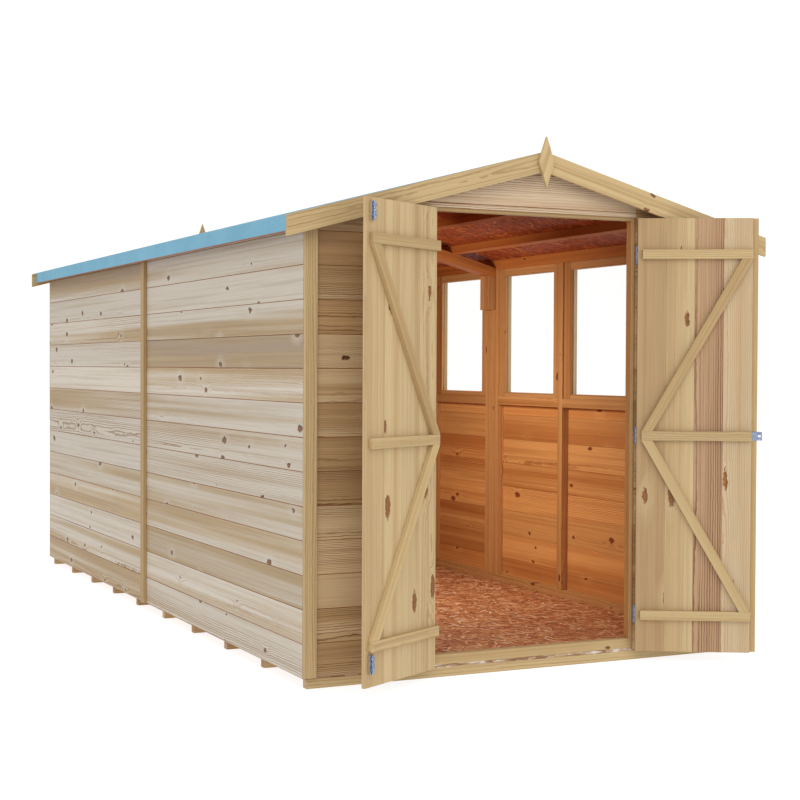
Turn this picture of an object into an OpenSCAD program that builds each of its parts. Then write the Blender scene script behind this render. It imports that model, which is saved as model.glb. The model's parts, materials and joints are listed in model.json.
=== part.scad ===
// Wooden apex garden shed with double doors. Millimetres, +Z up, +X to the right of the doors, +Y to the rear.
// The origin is the centre of the underside of the front floor bearer.

/* [Overall] */
// Width over the side cladding
shed_w = 2040; // [1800:10:2600]
// Length over the gable cladding
shed_len = 4196; // [3400:4:5000]
// Length of the front wall panels, from the gable cladding's face to the joint
front_panel_len = 2110; // [1700:5:2500]
// Height of the roof covering at the ridge
ridge_h = 2112; // [2080:2:2600]
// Pitch of the roof in degrees
roof_pitch = 15.2; // [12:0.1:18]

/* [Floor] */
// Number of floor bearers
bearer_count = 10; // [5:1:14]
// Width of a bearer
bearer_w = 36; // [28:1:50]
// Height of a bearer
bearer_h = 38; // [25:1:60]
// How far a bearer's end stops short of the wall frames' outer face
bearer_inset = 10; // [0:1:30]
// Thickness of the floor boards
floor_t = 12; // [9:1:22]

/* [Walls] */
// Thickness of the wall boards
clad_t = 12; // [9:1:20]
// How far the wall boards hang below the top of the floor
clad_drop = 5; // [0:1:9]
// Depth of the wall framing
frame_d = 38; // [28:1:60]
// Width of a stud across its face
stud_w = 44; // [32:1:60]
// Width of each post beside a joint between two wall panels
joint_post_w = 70; // [44:1:90]
// Height of the bottom rails, which also make the door sill
rail_h = 40; // [30:1:60]
// Depth of the top rails at the wall's outer face
top_rail_h = 44; // [34:1:70]
// Gap where two panels, roof halves or floor boards meet
panel_gap = 1; // [0.5:0.5:3]
// Width of the strips that cover the corners and the joints
strip_w = 54; // [40:1:70]
// Thickness of the corner strips
strip_t = 15; // [10:1:20]
// Thickness of the joint strips
joint_strip_t = 18; // [10:1:25]

/* [Windows] */
// Windows in each panel of the right wall
panel_windows = 3; // [2:1:3]
// Height of the underside of the window sill rail
sill_z = 1033; // [800:1:1200]
// Height of the window sill rail
sill_h = 47; // [34:1:60]
// Width of the casement's side members
stile_w = 60; // [30:1:80]
// Height of the casement's top member
casement_head = 35; // [20:1:60]
// Height of the casement's bottom member
casement_foot = 17; // [12:1:60]
// Thickness of the casement members
casement_t = 28; // [20:1:30]
// Thickness of the panes
glass_t = 4; // [3:0.5:6]

/* [Roof] */
// Seating clearance above and below the roof boards
seat_gap = 0.05; // [0.02:0.01:0.3]
// Overhang of the roof beyond the side cladding
eave_over = 71; // [60:1:140]
// Overhang of the roof beyond the gable cladding
gable_over = 60; // [40:1:62]
// Thickness of the roof boards
board_t = 11; // [9:1:18]
// Thickness of the roof covering
felt_t = 2; // [1.5:0.5:4]
// Drop of the roof covering down the eaves
eave_drop = 61; // [50:1:90]
// How far the barge boards reach past the eaves
barge_over = 27; // [0:1:40]
// Thickness of the battens along the eaves
eave_batten_t = 20; // [15:1:30]
// Width of a purlin
purlin_w = 36; // [28:1:50]
// Depth of a purlin
purlin_d = 44; // [34:1:60]
// Distance from the ridge to the first purlin, down the slope
purlin_first = 68; // [50:1:120]
// Distance between purlins, down the slope
purlin_pitch = 340; // [250:5:360]
// Thickness of each of the two trusses at the joint
truss_t = 46; // [34:1:60]
// Upright depth of the truss rafters
truss_h = 55; // [40:1:70]
// Width of the truss legs
leg_w = 51; // [40:1:70]
// Height of the lower ends of the truss legs
leg_z = 1558; // [1400:2:1600]
// Upright height of the barge boards
barge_h = 82; // [70:1:84]
// Thickness of the barge boards
barge_t = 15; // [10:1:20]
// Height of a diamond finial
finial_h = 208; // [150:2:240]
// Width of a diamond finial
finial_w = 72; // [50:1:90]
// Thickness of a diamond finial
finial_t = 15; // [10:1:20]
// Height of a finial's tip above the ridge
finial_up = 60; // [30:1:90]

/* [Doors] */
// Width of the doorway between the front wall boards
door_w = 968; // [820:2:1080]
// Distance of the doorway's centre to the right of the ridge
door_x = 6; // [-20:1:20]
// Distance outside the doorway at which the open leaves pass under the barge boards
leaf_pass = 80; // [80:1:120]
// Drop of the doorway's head below the barge boards there
head_drop = 1; // [1:1:30]
// How far the header and the right jamb stand into the doorway as stops
door_stop = 13; // [12:1:16]
// Height of the leaves' lower edge
leaf_z = 45; // [40:1:60]
// Thickness of a leaf's boards
leaf_t = 16; // [12:1:18]
// Gap between a closed leaf and the jambs and stops
door_gap = 5; // [5:0.5:8]
// Gap between a closed leaf and the doorway's head
head_gap = 6; // [6:0.5:9]
// Gap between the two closed leaves
meeting_gap = 4; // [3:0.5:6]
// Angle that the leaves stand open
door_open = 150; // [0:1:150]
// Height of a ledge across its face
ledge_h = 40; // [34:1:60]
// Thickness of the ledges and braces
ledge_t = 20; // [16:1:22]
// Height of the low ledge's centre
low_ledge_z = 199; // [185:1:240]
// Height of the middle ledge's centre
mid_ledge_z = 955; // [900:1:1000]
// Height of the top ledge's centre
top_ledge_z = 1716; // [1680:1:1720]
// Width of a brace, square to its length
brace_w = 40; // [34:1:50]
// Inset of the left ledges from the free edge, and of the right ledges from the hinge edge
ledge_inset = 19; // [18:1:25]
// Width of the cover strip on the right leaf
cover_w = 50; // [44:1:60]
// How far the cover strip reaches past the right leaf's free edge
cover_reach = 26; // [20:1:30]
// Thickness of the cover strip
cover_t = 15; // [12:1:18]

/* [Door hardware] */
// Height of a hinge
hinge_h = 75; // [60:1:90]
// Thickness of the hinge plates
hinge_t = 3; // [2:0.5:4]
// Width of a hinge's jamb plate
hinge_plate_w = 26; // [20:1:35]
// Length of a hinge's strap along the leaf
strap_len = 230; // [150:5:300]
// Width of a hinge's strap
strap_w = 34; // [24:1:40]
// Radius of a hinge's knuckle
knuckle_r = 5; // [4.5:0.25:5]
// Radius of a hinge's pin
pin_r = 2.5; // [2:0.25:3]
// Gap between a hinge's knuckles
knuckle_gap = 0.5; // [0.3:0.1:1]
// Running clearance around a hinge's pin
pin_clear = 0.1; // [0.05:0.01:0.2]
// Length of a door bolt's plate
bolt_len = 71; // [50:1:71]
// Width of a door bolt's plate
bolt_w = 26; // [20:1:30]
// Distance from a bolt's centre to the leaf's free edge
bolt_inset = 30; // [26:1:45]
// Distance of the bolts from the header and from the sill
bolt_end_gap = 7; // [6:1:20]
// Radius of a bolt's barrel
bolt_r = 5; // [4:0.5:7]
// Radius of a bolt's knob
knob_r = 3.5; // [2.5:0.5:5]
// Length of a bolt's knob
knob_len = 15; // [10:1:18]
// Thickness of the blocks behind the bolts
packer_t = 10; // [6:1:14]
// Distance that the lock plate stands out past the cover strip
lock_out = 24; // [15:1:30]
// Height of the lock plate
lock_h = 38; // [25:1:45]

/* [Hidden] */

pine = "burlywood";
frame_wood = "peru";
board_wood = "sienna";
felt_blue = "lightsteelblue";
zinc = "silver";

// Cross-section of the walls, from the middle of the shed outwards
half_w = shed_w / 2;
frame_out = half_w - clad_t;
frame_in = frame_out - frame_d;
// Lengthwise faces of the gable cladding and framing
front_y = -bearer_w / 2 - clad_t;
rear_y = front_y + shed_len;
frame_y0 = front_y + clad_t;
frame_y1 = rear_y - clad_t;
inner_y0 = frame_y0 + frame_d;
inner_y1 = frame_y1 - frame_d;
joint_y = front_y + front_panel_len;
joint_y0 = joint_y - panel_gap / 2;
joint_y1 = joint_y + panel_gap / 2;

floor_top = bearer_h + floor_t;
clad_z = floor_top - clad_drop;
wall_z = floor_top + rail_h;

// The roof's planes are parallel: its covering, its boards, the seats under them and the purlins' underside
slope = tan(roof_pitch);
felt_v = felt_t / cos(roof_pitch);
board_v = board_t / cos(roof_pitch);
purlin_v = purlin_d / cos(roof_pitch);
eave_x = half_w + eave_over;
barge_x = eave_x + barge_over;
board_x = eave_x - felt_t;
roof_y0 = front_y - gable_over;
roof_y1 = rear_y + gable_over;
function roof_top(x) = ridge_h - abs(x) * slope;
function felt_under(x) = roof_top(x) - felt_v;
function board_top(x) = felt_under(x) - seat_gap;
function board_under(x) = board_top(x) - board_v;
function seat_top(x) = board_under(x) - seat_gap;
function purlin_under(x) = seat_top(x) - purlin_v;
function rafter_under(x) = purlin_under(x) - stud_w / cos(roof_pitch);
plate_z = seat_top(frame_out) - top_rail_h;

// The windows fill each panel between its corner stud and its joint post
sill_top = sill_z + sill_h;
pane_z0 = sill_top + casement_foot;
pane_z1 = plate_z - casement_head;
casement_x0 = frame_out - casement_t;
front_bays = [inner_y0, joint_y0 - joint_post_w];
rear_bays = [joint_y1 + joint_post_w, inner_y1];
function bay_w(ends) = (ends[1] - ends[0] - (panel_windows - 1) * stud_w) / panel_windows;
function bay_y(ends, i) = ends[0] + i * (bay_w(ends) + stud_w);
bays = [
    for (ends = [front_bays, rear_bays], i = [0 : panel_windows - 1])
        [bay_y(ends, i), bay_y(ends, i) + bay_w(ends)]
];

// The doorway and the two leaves, which are laid out closed and then swung open on their pins
door_x0 = door_x - door_w / 2;
door_x1 = door_x + door_w / 2;
right_stop_x = door_x1 - door_stop;
door_head_z = roof_top(door_w / 2 + abs(door_x) + leaf_pass) - barge_h - head_drop;
header_z = door_head_z - door_stop;
leaf_z1 = door_head_z - head_gap;
leaf_x0 = door_x0 + door_gap;
leaf_x1 = door_x1 - door_gap;
meet_x0 = door_x - meeting_gap / 2;
meet_x1 = door_x + meeting_gap / 2;
leaf_in = front_y + clad_t - door_gap;
leaf_out = leaf_in - leaf_t;
pin_y = leaf_out - knuckle_r;
left_pin_x = door_x0 + door_gap / 2;
right_pin_x = door_x1 - door_gap / 2;
ledge_zs = [low_ledge_z, mid_ledge_z, top_ledge_z];
hinge_cut = hinge_h / 3;
strap_x0 = knuckle_r + hinge_t;
// The rear gable's middle posts stand a third of the way out
rear_post_x = frame_in / 3;

// A box between two opposite corners
module block(lo, hi) {
    translate(lo) cube(hi - lo);
}

// A solid with a fixed X-Z section, from y0 to y1
module along_y(points, y0, y1) {
    translate([0, y1, 0]) rotate([90, 0, 0]) linear_extrude(y1 - y0) polygon(points);
}

// The same solid on both sides of the shed
module both_sides() {
    children();
    mirror([1, 0, 0]) children();
}

// An upright piece from x0 to x1 whose top follows a sloping line given by its heights at x0 and x1
module sloped_post(x0, x1, z0, top0, top1, y0, y1) {
    along_y([[x0, z0], [x1, z0], [x1, top1], [x0, top0]], y0, y1);
}

// A point on the seats under the roof boards: u down the slope from the ridge, n below it, square to the slope
function under_roof(u, n) = [
    u * cos(roof_pitch) - n * sin(roof_pitch),
    seat_top(0) - u * sin(roof_pitch) - n * cos(roof_pitch)
];

module floor_bearers() {
    run = frame_y1 - bearer_w / 2;
    color(pine)
        for (i = [0 : bearer_count - 1])
            translate([0, i * run / (bearer_count - 1), 0])
                block([bearer_inset - frame_out, -bearer_w / 2, 0], [frame_out - bearer_inset, bearer_w / 2, bearer_h]);
}

module floor_boards() {
    color(board_wood) {
        block([-frame_out, frame_y0, bearer_h], [frame_out, joint_y0, floor_top]);
        block([-frame_out, joint_y1, bearer_h], [frame_out, frame_y1, floor_top]);
    }
}

// One length of side cladding, whose top edge follows the roof boards
module side_boards(z0, y0, y1) {
    sloped_post(frame_out, half_w, z0, seat_top(frame_out), seat_top(half_w), y0, y1);
}

module left_cladding() {
    color(pine) mirror([1, 0, 0]) {
        side_boards(clad_z, front_y, joint_y0);
        side_boards(clad_z, joint_y1, rear_y);
    }
}

// Corner studs, joint posts and the studs between bays, on the right side
module side_studs() {
    block([frame_in, frame_y0, wall_z], [frame_out, inner_y0, plate_z]);
    block([frame_in, front_bays[1], wall_z], [frame_out, joint_y0, plate_z]);
    block([frame_in, joint_y1, wall_z], [frame_out, rear_bays[0], plate_z]);
    block([frame_in, inner_y1, wall_z], [frame_out, frame_y1, plate_z]);
    for (ends = [front_bays, rear_bays], i = [1 : panel_windows - 1])
        block([frame_in, bay_y(ends, i) - stud_w, wall_z], [frame_out, bay_y(ends, i), plate_z]);
}

// Bottom and top rails of both panels, on the right side
module side_rails() {
    for (y = [[frame_y0, joint_y0], [joint_y1, frame_y1]]) {
        block([frame_in, y[0], floor_top], [frame_out, y[1], wall_z]);
        sloped_post(frame_in, frame_out, plate_z, seat_top(frame_in), seat_top(frame_out), y[0], y[1]);
    }
}

// Rails between the studs at one height, on the right side
module bay_rails(z0, z1) {
    for (bay = bays) block([frame_in, bay[0], z0], [frame_out, bay[1], z1]);
}

module left_studs() {
    color(frame_wood) mirror([1, 0, 0]) side_studs();
}

module left_rails() {
    color(frame_wood) mirror([1, 0, 0]) {
        side_rails();
        bay_rails(sill_z, sill_z + stud_w);
    }
}

module right_cladding_low() {
    color(pine) {
        block([frame_out, front_y, clad_z], [half_w, joint_y0, pane_z0]);
        block([frame_out, joint_y1, clad_z], [half_w, rear_y, pane_z0]);
    }
}

// The boards between the windows reach from one pane's edge to the next
module right_cladding_piers() {
    last = len(bays) - 1;
    color(pine) {
        block([frame_out, front_y, pane_z0], [half_w, bays[0][0] + stile_w, pane_z1]);
        block([frame_out, bays[last][1] - stile_w, pane_z0], [half_w, rear_y, pane_z1]);
        for (i = [1 : last])
            if (i == panel_windows) {
                block([frame_out, bays[i - 1][1] - stile_w, pane_z0], [half_w, joint_y0, pane_z1]);
                block([frame_out, joint_y1, pane_z0], [half_w, bays[i][0] + stile_w, pane_z1]);
            } else {
                block([frame_out, bays[i - 1][1] - stile_w, pane_z0], [half_w, bays[i][0] + stile_w, pane_z1]);
            }
    }
}

module right_cladding_top() {
    color(pine) {
        side_boards(pane_z1, front_y, joint_y0);
        side_boards(pane_z1, joint_y1, rear_y);
    }
}

module right_studs() {
    color(frame_wood) side_studs();
}

module right_rails() {
    color(frame_wood) {
        side_rails();
        bay_rails(sill_z, sill_top);
    }
}

module window_stiles() {
    color(frame_wood)
        for (bay = bays, y = [bay[0], bay[1] - stile_w])
            block([casement_x0, y, sill_top], [frame_out, y + stile_w, plate_z]);
}

module window_rails() {
    color(frame_wood)
        for (bay = bays, z = [[sill_top, pane_z0], [pane_z1, plate_z]])
            block([casement_x0, bay[0] + stile_w, z[0]], [frame_out, bay[1] - stile_w, z[1]]);
}

module window_glass() {
    x0 = (casement_x0 + frame_out - glass_t) / 2;
    color("lightcyan", 0.4)
        for (bay = bays)
            block([x0, bay[0] + stile_w, pane_z0], [x0 + glass_t, bay[1] - stile_w, pane_z1]);
}

module front_cladding_left() {
    color(pine)
        sloped_post(-frame_out, door_x0, clad_z, seat_top(frame_out), seat_top(door_x0), front_y, frame_y0);
}

module front_cladding_right() {
    color(pine)
        sloped_post(door_x1, frame_out, clad_z, seat_top(door_x1), seat_top(frame_out), front_y, frame_y0);
}

module front_cladding_top() {
    outline = [
        [door_x0, door_head_z], [door_x1, door_head_z], [door_x1, seat_top(door_x1)],
        [0, seat_top(0)], [door_x0, seat_top(door_x0)]
    ];
    color(pine) along_y(outline, front_y, frame_y0);
}

// An upright of a gable frame, cut to the rafter above it
module gable_post(x0, x1, y0, y1) {
    sloped_post(x0, x1, wall_z, rafter_under(x0), rafter_under(x1), y0, y1);
}

// The sloping top members of the two gable frames
module gable_rafters() {
    x0 = panel_gap / 2;
    outline = [
        [x0, purlin_under(x0)], [frame_in, purlin_under(frame_in)],
        [frame_in, rafter_under(frame_in)], [x0, rafter_under(x0)]
    ];
    color(frame_wood) both_sides() {
        along_y(outline, frame_y0, inner_y0);
        along_y(outline, inner_y1, frame_y1);
    }
}

module front_posts() {
    color(frame_wood) {
        both_sides() gable_post(frame_in - stud_w, frame_in, frame_y0, inner_y0);
        gable_post(door_x0 - stud_w, door_x0, frame_y0, inner_y0);
        gable_post(right_stop_x, right_stop_x + stud_w, frame_y0, inner_y0);
    }
}

// The sill, the header with its corners cut to the rafters, and the rails beside the doorway
module front_rails() {
    mid_z = [mid_ledge_z - stud_w / 2, mid_ledge_z + stud_w / 2];
    under_rafters = [
        [-frame_in, floor_top], [frame_in, floor_top], [frame_in, rafter_under(frame_in)],
        [0, rafter_under(0)], [-frame_in, rafter_under(frame_in)]
    ];
    color(frame_wood) {
        block([-frame_in, frame_y0, floor_top], [frame_in, inner_y0, wall_z]);
        intersection() {
            block([door_x0, frame_y0, header_z], [right_stop_x, inner_y0, header_z + stud_w]);
            along_y(under_rafters, frame_y0, inner_y0);
        }
        block([-frame_in + stud_w, frame_y0, mid_z[0]], [door_x0 - stud_w, inner_y0, mid_z[1]]);
        block([right_stop_x + stud_w, frame_y0, mid_z[0]], [frame_in - stud_w, inner_y0, mid_z[1]]);
    }
}

module rear_cladding() {
    outline = [
        [-frame_out, clad_z], [frame_out, clad_z], [frame_out, seat_top(frame_out)],
        [0, seat_top(0)], [-frame_out, seat_top(frame_out)]
    ];
    color(pine) along_y(outline, frame_y1, rear_y);
}

module rear_posts() {
    color(frame_wood) both_sides() {
        gable_post(frame_in - stud_w, frame_in, inner_y1, frame_y1);
        gable_post(rear_post_x - stud_w / 2, rear_post_x + stud_w / 2, inner_y1, frame_y1);
    }
}

module rear_rails() {
    mid_z = [mid_ledge_z - stud_w / 2, mid_ledge_z + stud_w / 2];
    inner_x = rear_post_x - stud_w / 2;
    outer_x = rear_post_x + stud_w / 2;
    color(frame_wood) {
        block([-frame_in, inner_y1, floor_top], [frame_in, frame_y1, wall_z]);
        block([-inner_x, inner_y1, mid_z[0]], [inner_x, frame_y1, mid_z[1]]);
        both_sides() block([outer_x, inner_y1, mid_z[0]], [frame_in - stud_w, frame_y1, mid_z[1]]);
    }
}

module corner_strips() {
    x0 = half_w - strip_w;
    color(pine) both_sides() {
        sloped_post(x0, half_w, clad_z, seat_top(x0), seat_top(half_w), front_y - strip_t, front_y);
        sloped_post(x0, half_w, clad_z, seat_top(x0), seat_top(half_w), rear_y, rear_y + strip_t);
    }
}

module joint_strips() {
    x1 = half_w + joint_strip_t;
    color(pine) both_sides()
        sloped_post(
            half_w, x1, clad_z, seat_top(half_w), seat_top(x1), joint_y - strip_w / 2, joint_y + strip_w / 2
        );
}

// Purlins run from gable to gable over the truss, and a batten runs under each eave
module roof_purlins() {
    batten_x1 = board_x - seat_gap;
    batten_x = batten_x1 - eave_batten_t;
    color(frame_wood) both_sides() {
        for (i = [0 : 2]) {
            u0 = purlin_first + i * purlin_pitch - purlin_w / 2;
            u1 = u0 + purlin_w;
            along_y([
                under_roof(u0, 0), under_roof(u1, 0), under_roof(u1, purlin_d), under_roof(u0, purlin_d)
            ], frame_y0, frame_y1);
        }
        sloped_post(
            batten_x, batten_x1, roof_top(eave_x) - eave_drop, seat_top(batten_x), seat_top(batten_x1),
            roof_y0, roof_y1
        );
    }
}

// Two trusses stand side by side where the wall panels and the roof halves meet
module truss_pair() {
    for (y0 = [joint_y0 - truss_t, joint_y1]) translate([0, y0, 0]) children();
}

module truss_rafters() {
    x0 = panel_gap / 2;
    color(frame_wood) truss_pair() both_sides() along_y([
        [x0, purlin_under(x0)], [frame_in, purlin_under(frame_in)],
        [frame_in, purlin_under(frame_in) - truss_h], [x0, purlin_under(x0) - truss_h]
    ], 0, truss_t);
}

module truss_legs() {
    x0 = frame_in - leg_w;
    color(frame_wood) truss_pair() both_sides()
        sloped_post(
            x0, frame_in, leg_z, purlin_under(x0) - truss_h, purlin_under(frame_in) - truss_h, 0, truss_t
        );
}

// The boards of one roof slope, on the right side
module roof_slope() {
    x0 = panel_gap / 2;
    x1 = board_x - seat_gap;
    outline = [[x0, board_under(x0)], [x1, board_under(x1)], [x1, board_top(x1)], [x0, board_top(x0)]];
    along_y(outline, roof_y0, joint_y0);
    along_y(outline, joint_y1, roof_y1);
}

module roof_board_left() {
    color(board_wood) mirror([1, 0, 0]) roof_slope();
}

module roof_board_right() {
    color(board_wood) roof_slope();
}

// One sheet over both slopes, folded down the eaves
module roof_felt() {
    drop_z = roof_top(eave_x) - eave_drop;
    color(felt_blue) along_y([
        [0, ridge_h], [eave_x, roof_top(eave_x)], [eave_x, drop_z], [board_x, drop_z],
        [board_x, felt_under(board_x)], [0, felt_under(0)],
        [-board_x, felt_under(board_x)], [-board_x, drop_z], [-eave_x, drop_z], [-eave_x, roof_top(eave_x)]
    ], roof_y0, roof_y1);
}

module barge_boards() {
    x0 = panel_gap / 2;
    outline = [
        [x0, roof_top(x0)], [barge_x, roof_top(barge_x)],
        [barge_x, roof_top(barge_x) - barge_h], [x0, roof_top(x0) - barge_h]
    ];
    color(pine) both_sides() {
        along_y(outline, roof_y0 - barge_t, roof_y0);
        along_y(outline, roof_y1, roof_y1 + barge_t);
    }
}

module finials() {
    mid_z = ridge_h + finial_up - finial_h / 2;
    outline = [
        [0, mid_z - finial_h / 2], [finial_w / 2, mid_z], [0, mid_z + finial_h / 2], [-finial_w / 2, mid_z]
    ];
    color(pine) {
        along_y(outline, roof_y0 - barge_t - finial_t, roof_y0 - barge_t);
        along_y(outline, roof_y1 + barge_t, roof_y1 + barge_t + finial_t);
    }
}

// A hinge's fixed half, centred on the origin with its pin upright and its plate towards -X
module jamb_hinge() {
    plate_y = front_y - pin_y;
    block([-hinge_plate_w - knuckle_r, plate_y - hinge_t, -hinge_h / 2], [0, plate_y, hinge_h / 2]);
    for (s = [-1, 1]) translate([0, 0, s * hinge_cut]) {
        translate([0, 0, -hinge_cut / 2]) cylinder(h = hinge_cut, r = knuckle_r, $fn = 48);
        block([-knuckle_r, 0, -hinge_cut / 2], [0, plate_y, hinge_cut / 2]);
    }
    translate([0, 0, -hinge_h / 2]) cylinder(h = hinge_h, r = pin_r, $fn = 48);
}

// A hinge's moving half: a knuckle round the pin and a strap towards +X on the leaf's outer face
module leaf_hinge() {
    strap_y = leaf_out - pin_y;
    tall = hinge_cut - 2 * knuckle_gap;
    difference() {
        union() {
            translate([0, 0, -tall / 2]) cylinder(h = tall, r = knuckle_r, $fn = 48);
            block([0, strap_y - hinge_t, -tall / 2], [knuckle_r * 2, strap_y, tall / 2]);
        }
        translate([0, 0, -tall]) cylinder(h = tall * 2, r = pin_r + pin_clear, $fn = 48);
    }
    translate([0, strap_y, 0]) rotate([90, 0, 0]) linear_extrude(hinge_t) polygon([
        [strap_x0, -strap_w / 2], [strap_len, -strap_w / 4], [strap_len, strap_w / 4], [strap_x0, strap_w / 2]
    ]);
}

module at_hinges(pin_x) {
    for (z = ledge_zs) translate([pin_x, pin_y, z]) children();
}

module left_jamb_hinges() {
    color(zinc) at_hinges(left_pin_x) jamb_hinge();
}

module right_jamb_hinges() {
    color(zinc) at_hinges(right_pin_x) mirror([1, 0, 0]) jamb_hinge();
}

// Carries closed left or right leaf pieces round their pins to where they stand
module left_swing() {
    translate([left_pin_x, pin_y, 0])
        rotate([0, 0, -door_open])
            translate([-left_pin_x, -pin_y, 0]) children();
}

module right_swing() {
    translate([right_pin_x, pin_y, 0])
        rotate([0, 0, door_open])
            translate([-right_pin_x, -pin_y, 0]) children();
}

// Three ledges across a leaf
module ledges(x0, x1) {
    for (z = ledge_zs) block([x0, leaf_in, z - ledge_h / 2], [x1, leaf_in + ledge_t, z + ledge_h / 2]);
}

// Two braces between the ledges, from the free side at the top and bottom to the hinge side in the middle
module braces(free_x, hinge_x) {
    side = free_x > hinge_x ? 1 : -1;
    top_z = [mid_ledge_z + ledge_h / 2, top_ledge_z - ledge_h / 2];
    low_z = [mid_ledge_z - ledge_h / 2, low_ledge_z + ledge_h / 2];
    for (z = [top_z, low_z]) {
        foot = side * brace_w * sqrt(1 + pow((free_x - hinge_x) / (z[1] - z[0]), 2));
        along_y([
            [hinge_x, z[0]], [hinge_x + foot, z[0]], [free_x, z[1]], [free_x - foot, z[1]]
        ], leaf_in, leaf_in + ledge_t);
    }
}

module left_door_boards() {
    color(pine) left_swing() block([leaf_x0, leaf_out, leaf_z], [meet_x0, leaf_in, leaf_z1]);
}

module left_door_ledges() {
    color(pine) left_swing() ledges(leaf_x0, meet_x0 - ledge_inset);
}

module left_door_braces() {
    color(pine) left_swing() braces(meet_x0 - ledge_inset, leaf_x0);
}

module left_door_hinges() {
    color(zinc) left_swing() at_hinges(left_pin_x) leaf_hinge();
}

// Two bolts with a knob, each on a block on the leaf's inner face
module left_door_bolts() {
    mid_x = meet_x0 - bolt_inset;
    top_z = header_z - bolt_end_gap - bolt_len;
    low_z = wall_z + bolt_end_gap;
    color(zinc) left_swing()
        for (z = [low_z, top_z]) translate([mid_x, leaf_in, z]) {
            block([-bolt_w / 2, 0, 0], [bolt_w / 2, packer_t, bolt_len]);
            translate([0, packer_t, 0]) cylinder(h = bolt_len, r = bolt_r, $fn = 32);
            translate([0, packer_t, bolt_len / 3])
                rotate([-90, 0, 0]) cylinder(h = knob_len, r = knob_r, $fn = 24);
        }
}

module right_door_boards() {
    color(pine) right_swing() block([meet_x1, leaf_out, leaf_z], [leaf_x1, leaf_in, leaf_z1]);
}

module right_door_ledges() {
    color(pine) right_swing() ledges(meet_x1, leaf_x1 - ledge_inset);
}

module right_door_braces() {
    color(pine) right_swing() braces(meet_x1, leaf_x1 - ledge_inset);
}

module right_door_hinges() {
    color(zinc) right_swing() at_hinges(right_pin_x) mirror([1, 0, 0]) leaf_hinge();
}

// A strip on the outer face, rebated where it laps over the left leaf
module right_door_cover_strip() {
    x0 = meet_x1 - cover_reach;
    color(pine) right_swing() {
        block([x0, leaf_out - cover_t, leaf_z], [meet_x1, leaf_out - door_gap, leaf_z1]);
        block([meet_x1, leaf_out - cover_t, leaf_z], [x0 + cover_w, leaf_out, leaf_z1]);
    }
}

// A plate on the cover strip that stands out past it, with a slot for the lock
module right_door_lock_plate() {
    x0 = meet_x1 - cover_reach - lock_out;
    x1 = x0 + lock_out + cover_w;
    y1 = leaf_out - cover_t;
    slot = [lock_out / 2, lock_h / 6];
    color(zinc) right_swing() difference() {
        block([x0, y1 - hinge_t, mid_ledge_z - lock_h / 2], [x1, y1, mid_ledge_z + lock_h / 2]);
        translate([x0 + lock_out / 4, y1 - 2 * hinge_t, mid_ledge_z - slot[1] / 2])
            cube([slot[0], 3 * hinge_t, slot[1]]);
    }
}

floor_bearers();
floor_boards();
left_cladding();
left_studs();
left_rails();
right_cladding_low();
right_cladding_piers();
right_cladding_top();
right_studs();
right_rails();
window_stiles();
window_rails();
window_glass();
front_cladding_left();
front_cladding_right();
front_cladding_top();
front_posts();
front_rails();
rear_cladding();
rear_posts();
rear_rails();
gable_rafters();
corner_strips();
joint_strips();
roof_purlins();
truss_rafters();
truss_legs();
roof_board_left();
roof_board_right();
roof_felt();
barge_boards();
finials();
left_jamb_hinges();
right_jamb_hinges();
left_door_boards();
left_door_ledges();
left_door_braces();
left_door_hinges();
left_door_bolts();
right_door_boards();
right_door_ledges();
right_door_braces();
right_door_hinges();
right_door_cover_strip();
right_door_lock_plate();
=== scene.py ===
"""A timber apex garden shed: its boards, framing, windows, roof, doors and ironwork, dressed over the fixed frame."""

import json
import logging
import math
import random
from collections.abc import Callable, Iterator, Sequence
from contextlib import contextmanager
from dataclasses import dataclass, field
from enum import Enum

import bmesh
import bpy
import numpy as np
from mathutils import Matrix, Vector


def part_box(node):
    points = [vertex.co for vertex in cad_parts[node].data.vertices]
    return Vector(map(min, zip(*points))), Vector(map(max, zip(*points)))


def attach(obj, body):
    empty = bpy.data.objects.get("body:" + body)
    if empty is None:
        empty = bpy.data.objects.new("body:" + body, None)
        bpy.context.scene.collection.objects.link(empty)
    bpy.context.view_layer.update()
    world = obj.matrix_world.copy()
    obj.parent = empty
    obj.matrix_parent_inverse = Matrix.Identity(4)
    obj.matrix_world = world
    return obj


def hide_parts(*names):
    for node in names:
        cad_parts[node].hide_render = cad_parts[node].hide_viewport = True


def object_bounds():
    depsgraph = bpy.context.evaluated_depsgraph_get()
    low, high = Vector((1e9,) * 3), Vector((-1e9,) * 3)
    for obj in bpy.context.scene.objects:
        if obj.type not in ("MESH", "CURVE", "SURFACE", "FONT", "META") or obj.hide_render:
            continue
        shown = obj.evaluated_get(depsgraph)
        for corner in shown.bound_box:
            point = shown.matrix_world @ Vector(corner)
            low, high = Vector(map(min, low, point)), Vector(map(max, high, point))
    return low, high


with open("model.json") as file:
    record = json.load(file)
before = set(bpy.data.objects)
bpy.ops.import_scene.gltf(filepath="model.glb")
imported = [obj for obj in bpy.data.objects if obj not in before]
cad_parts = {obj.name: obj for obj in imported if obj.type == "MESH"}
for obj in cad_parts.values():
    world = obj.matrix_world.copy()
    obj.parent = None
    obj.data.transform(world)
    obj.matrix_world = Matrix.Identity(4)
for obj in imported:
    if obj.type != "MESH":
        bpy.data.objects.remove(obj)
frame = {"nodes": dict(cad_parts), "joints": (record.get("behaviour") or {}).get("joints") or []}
CAD_LOW, CAD_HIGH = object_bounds()
log = logging.getLogger("shed")

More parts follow.
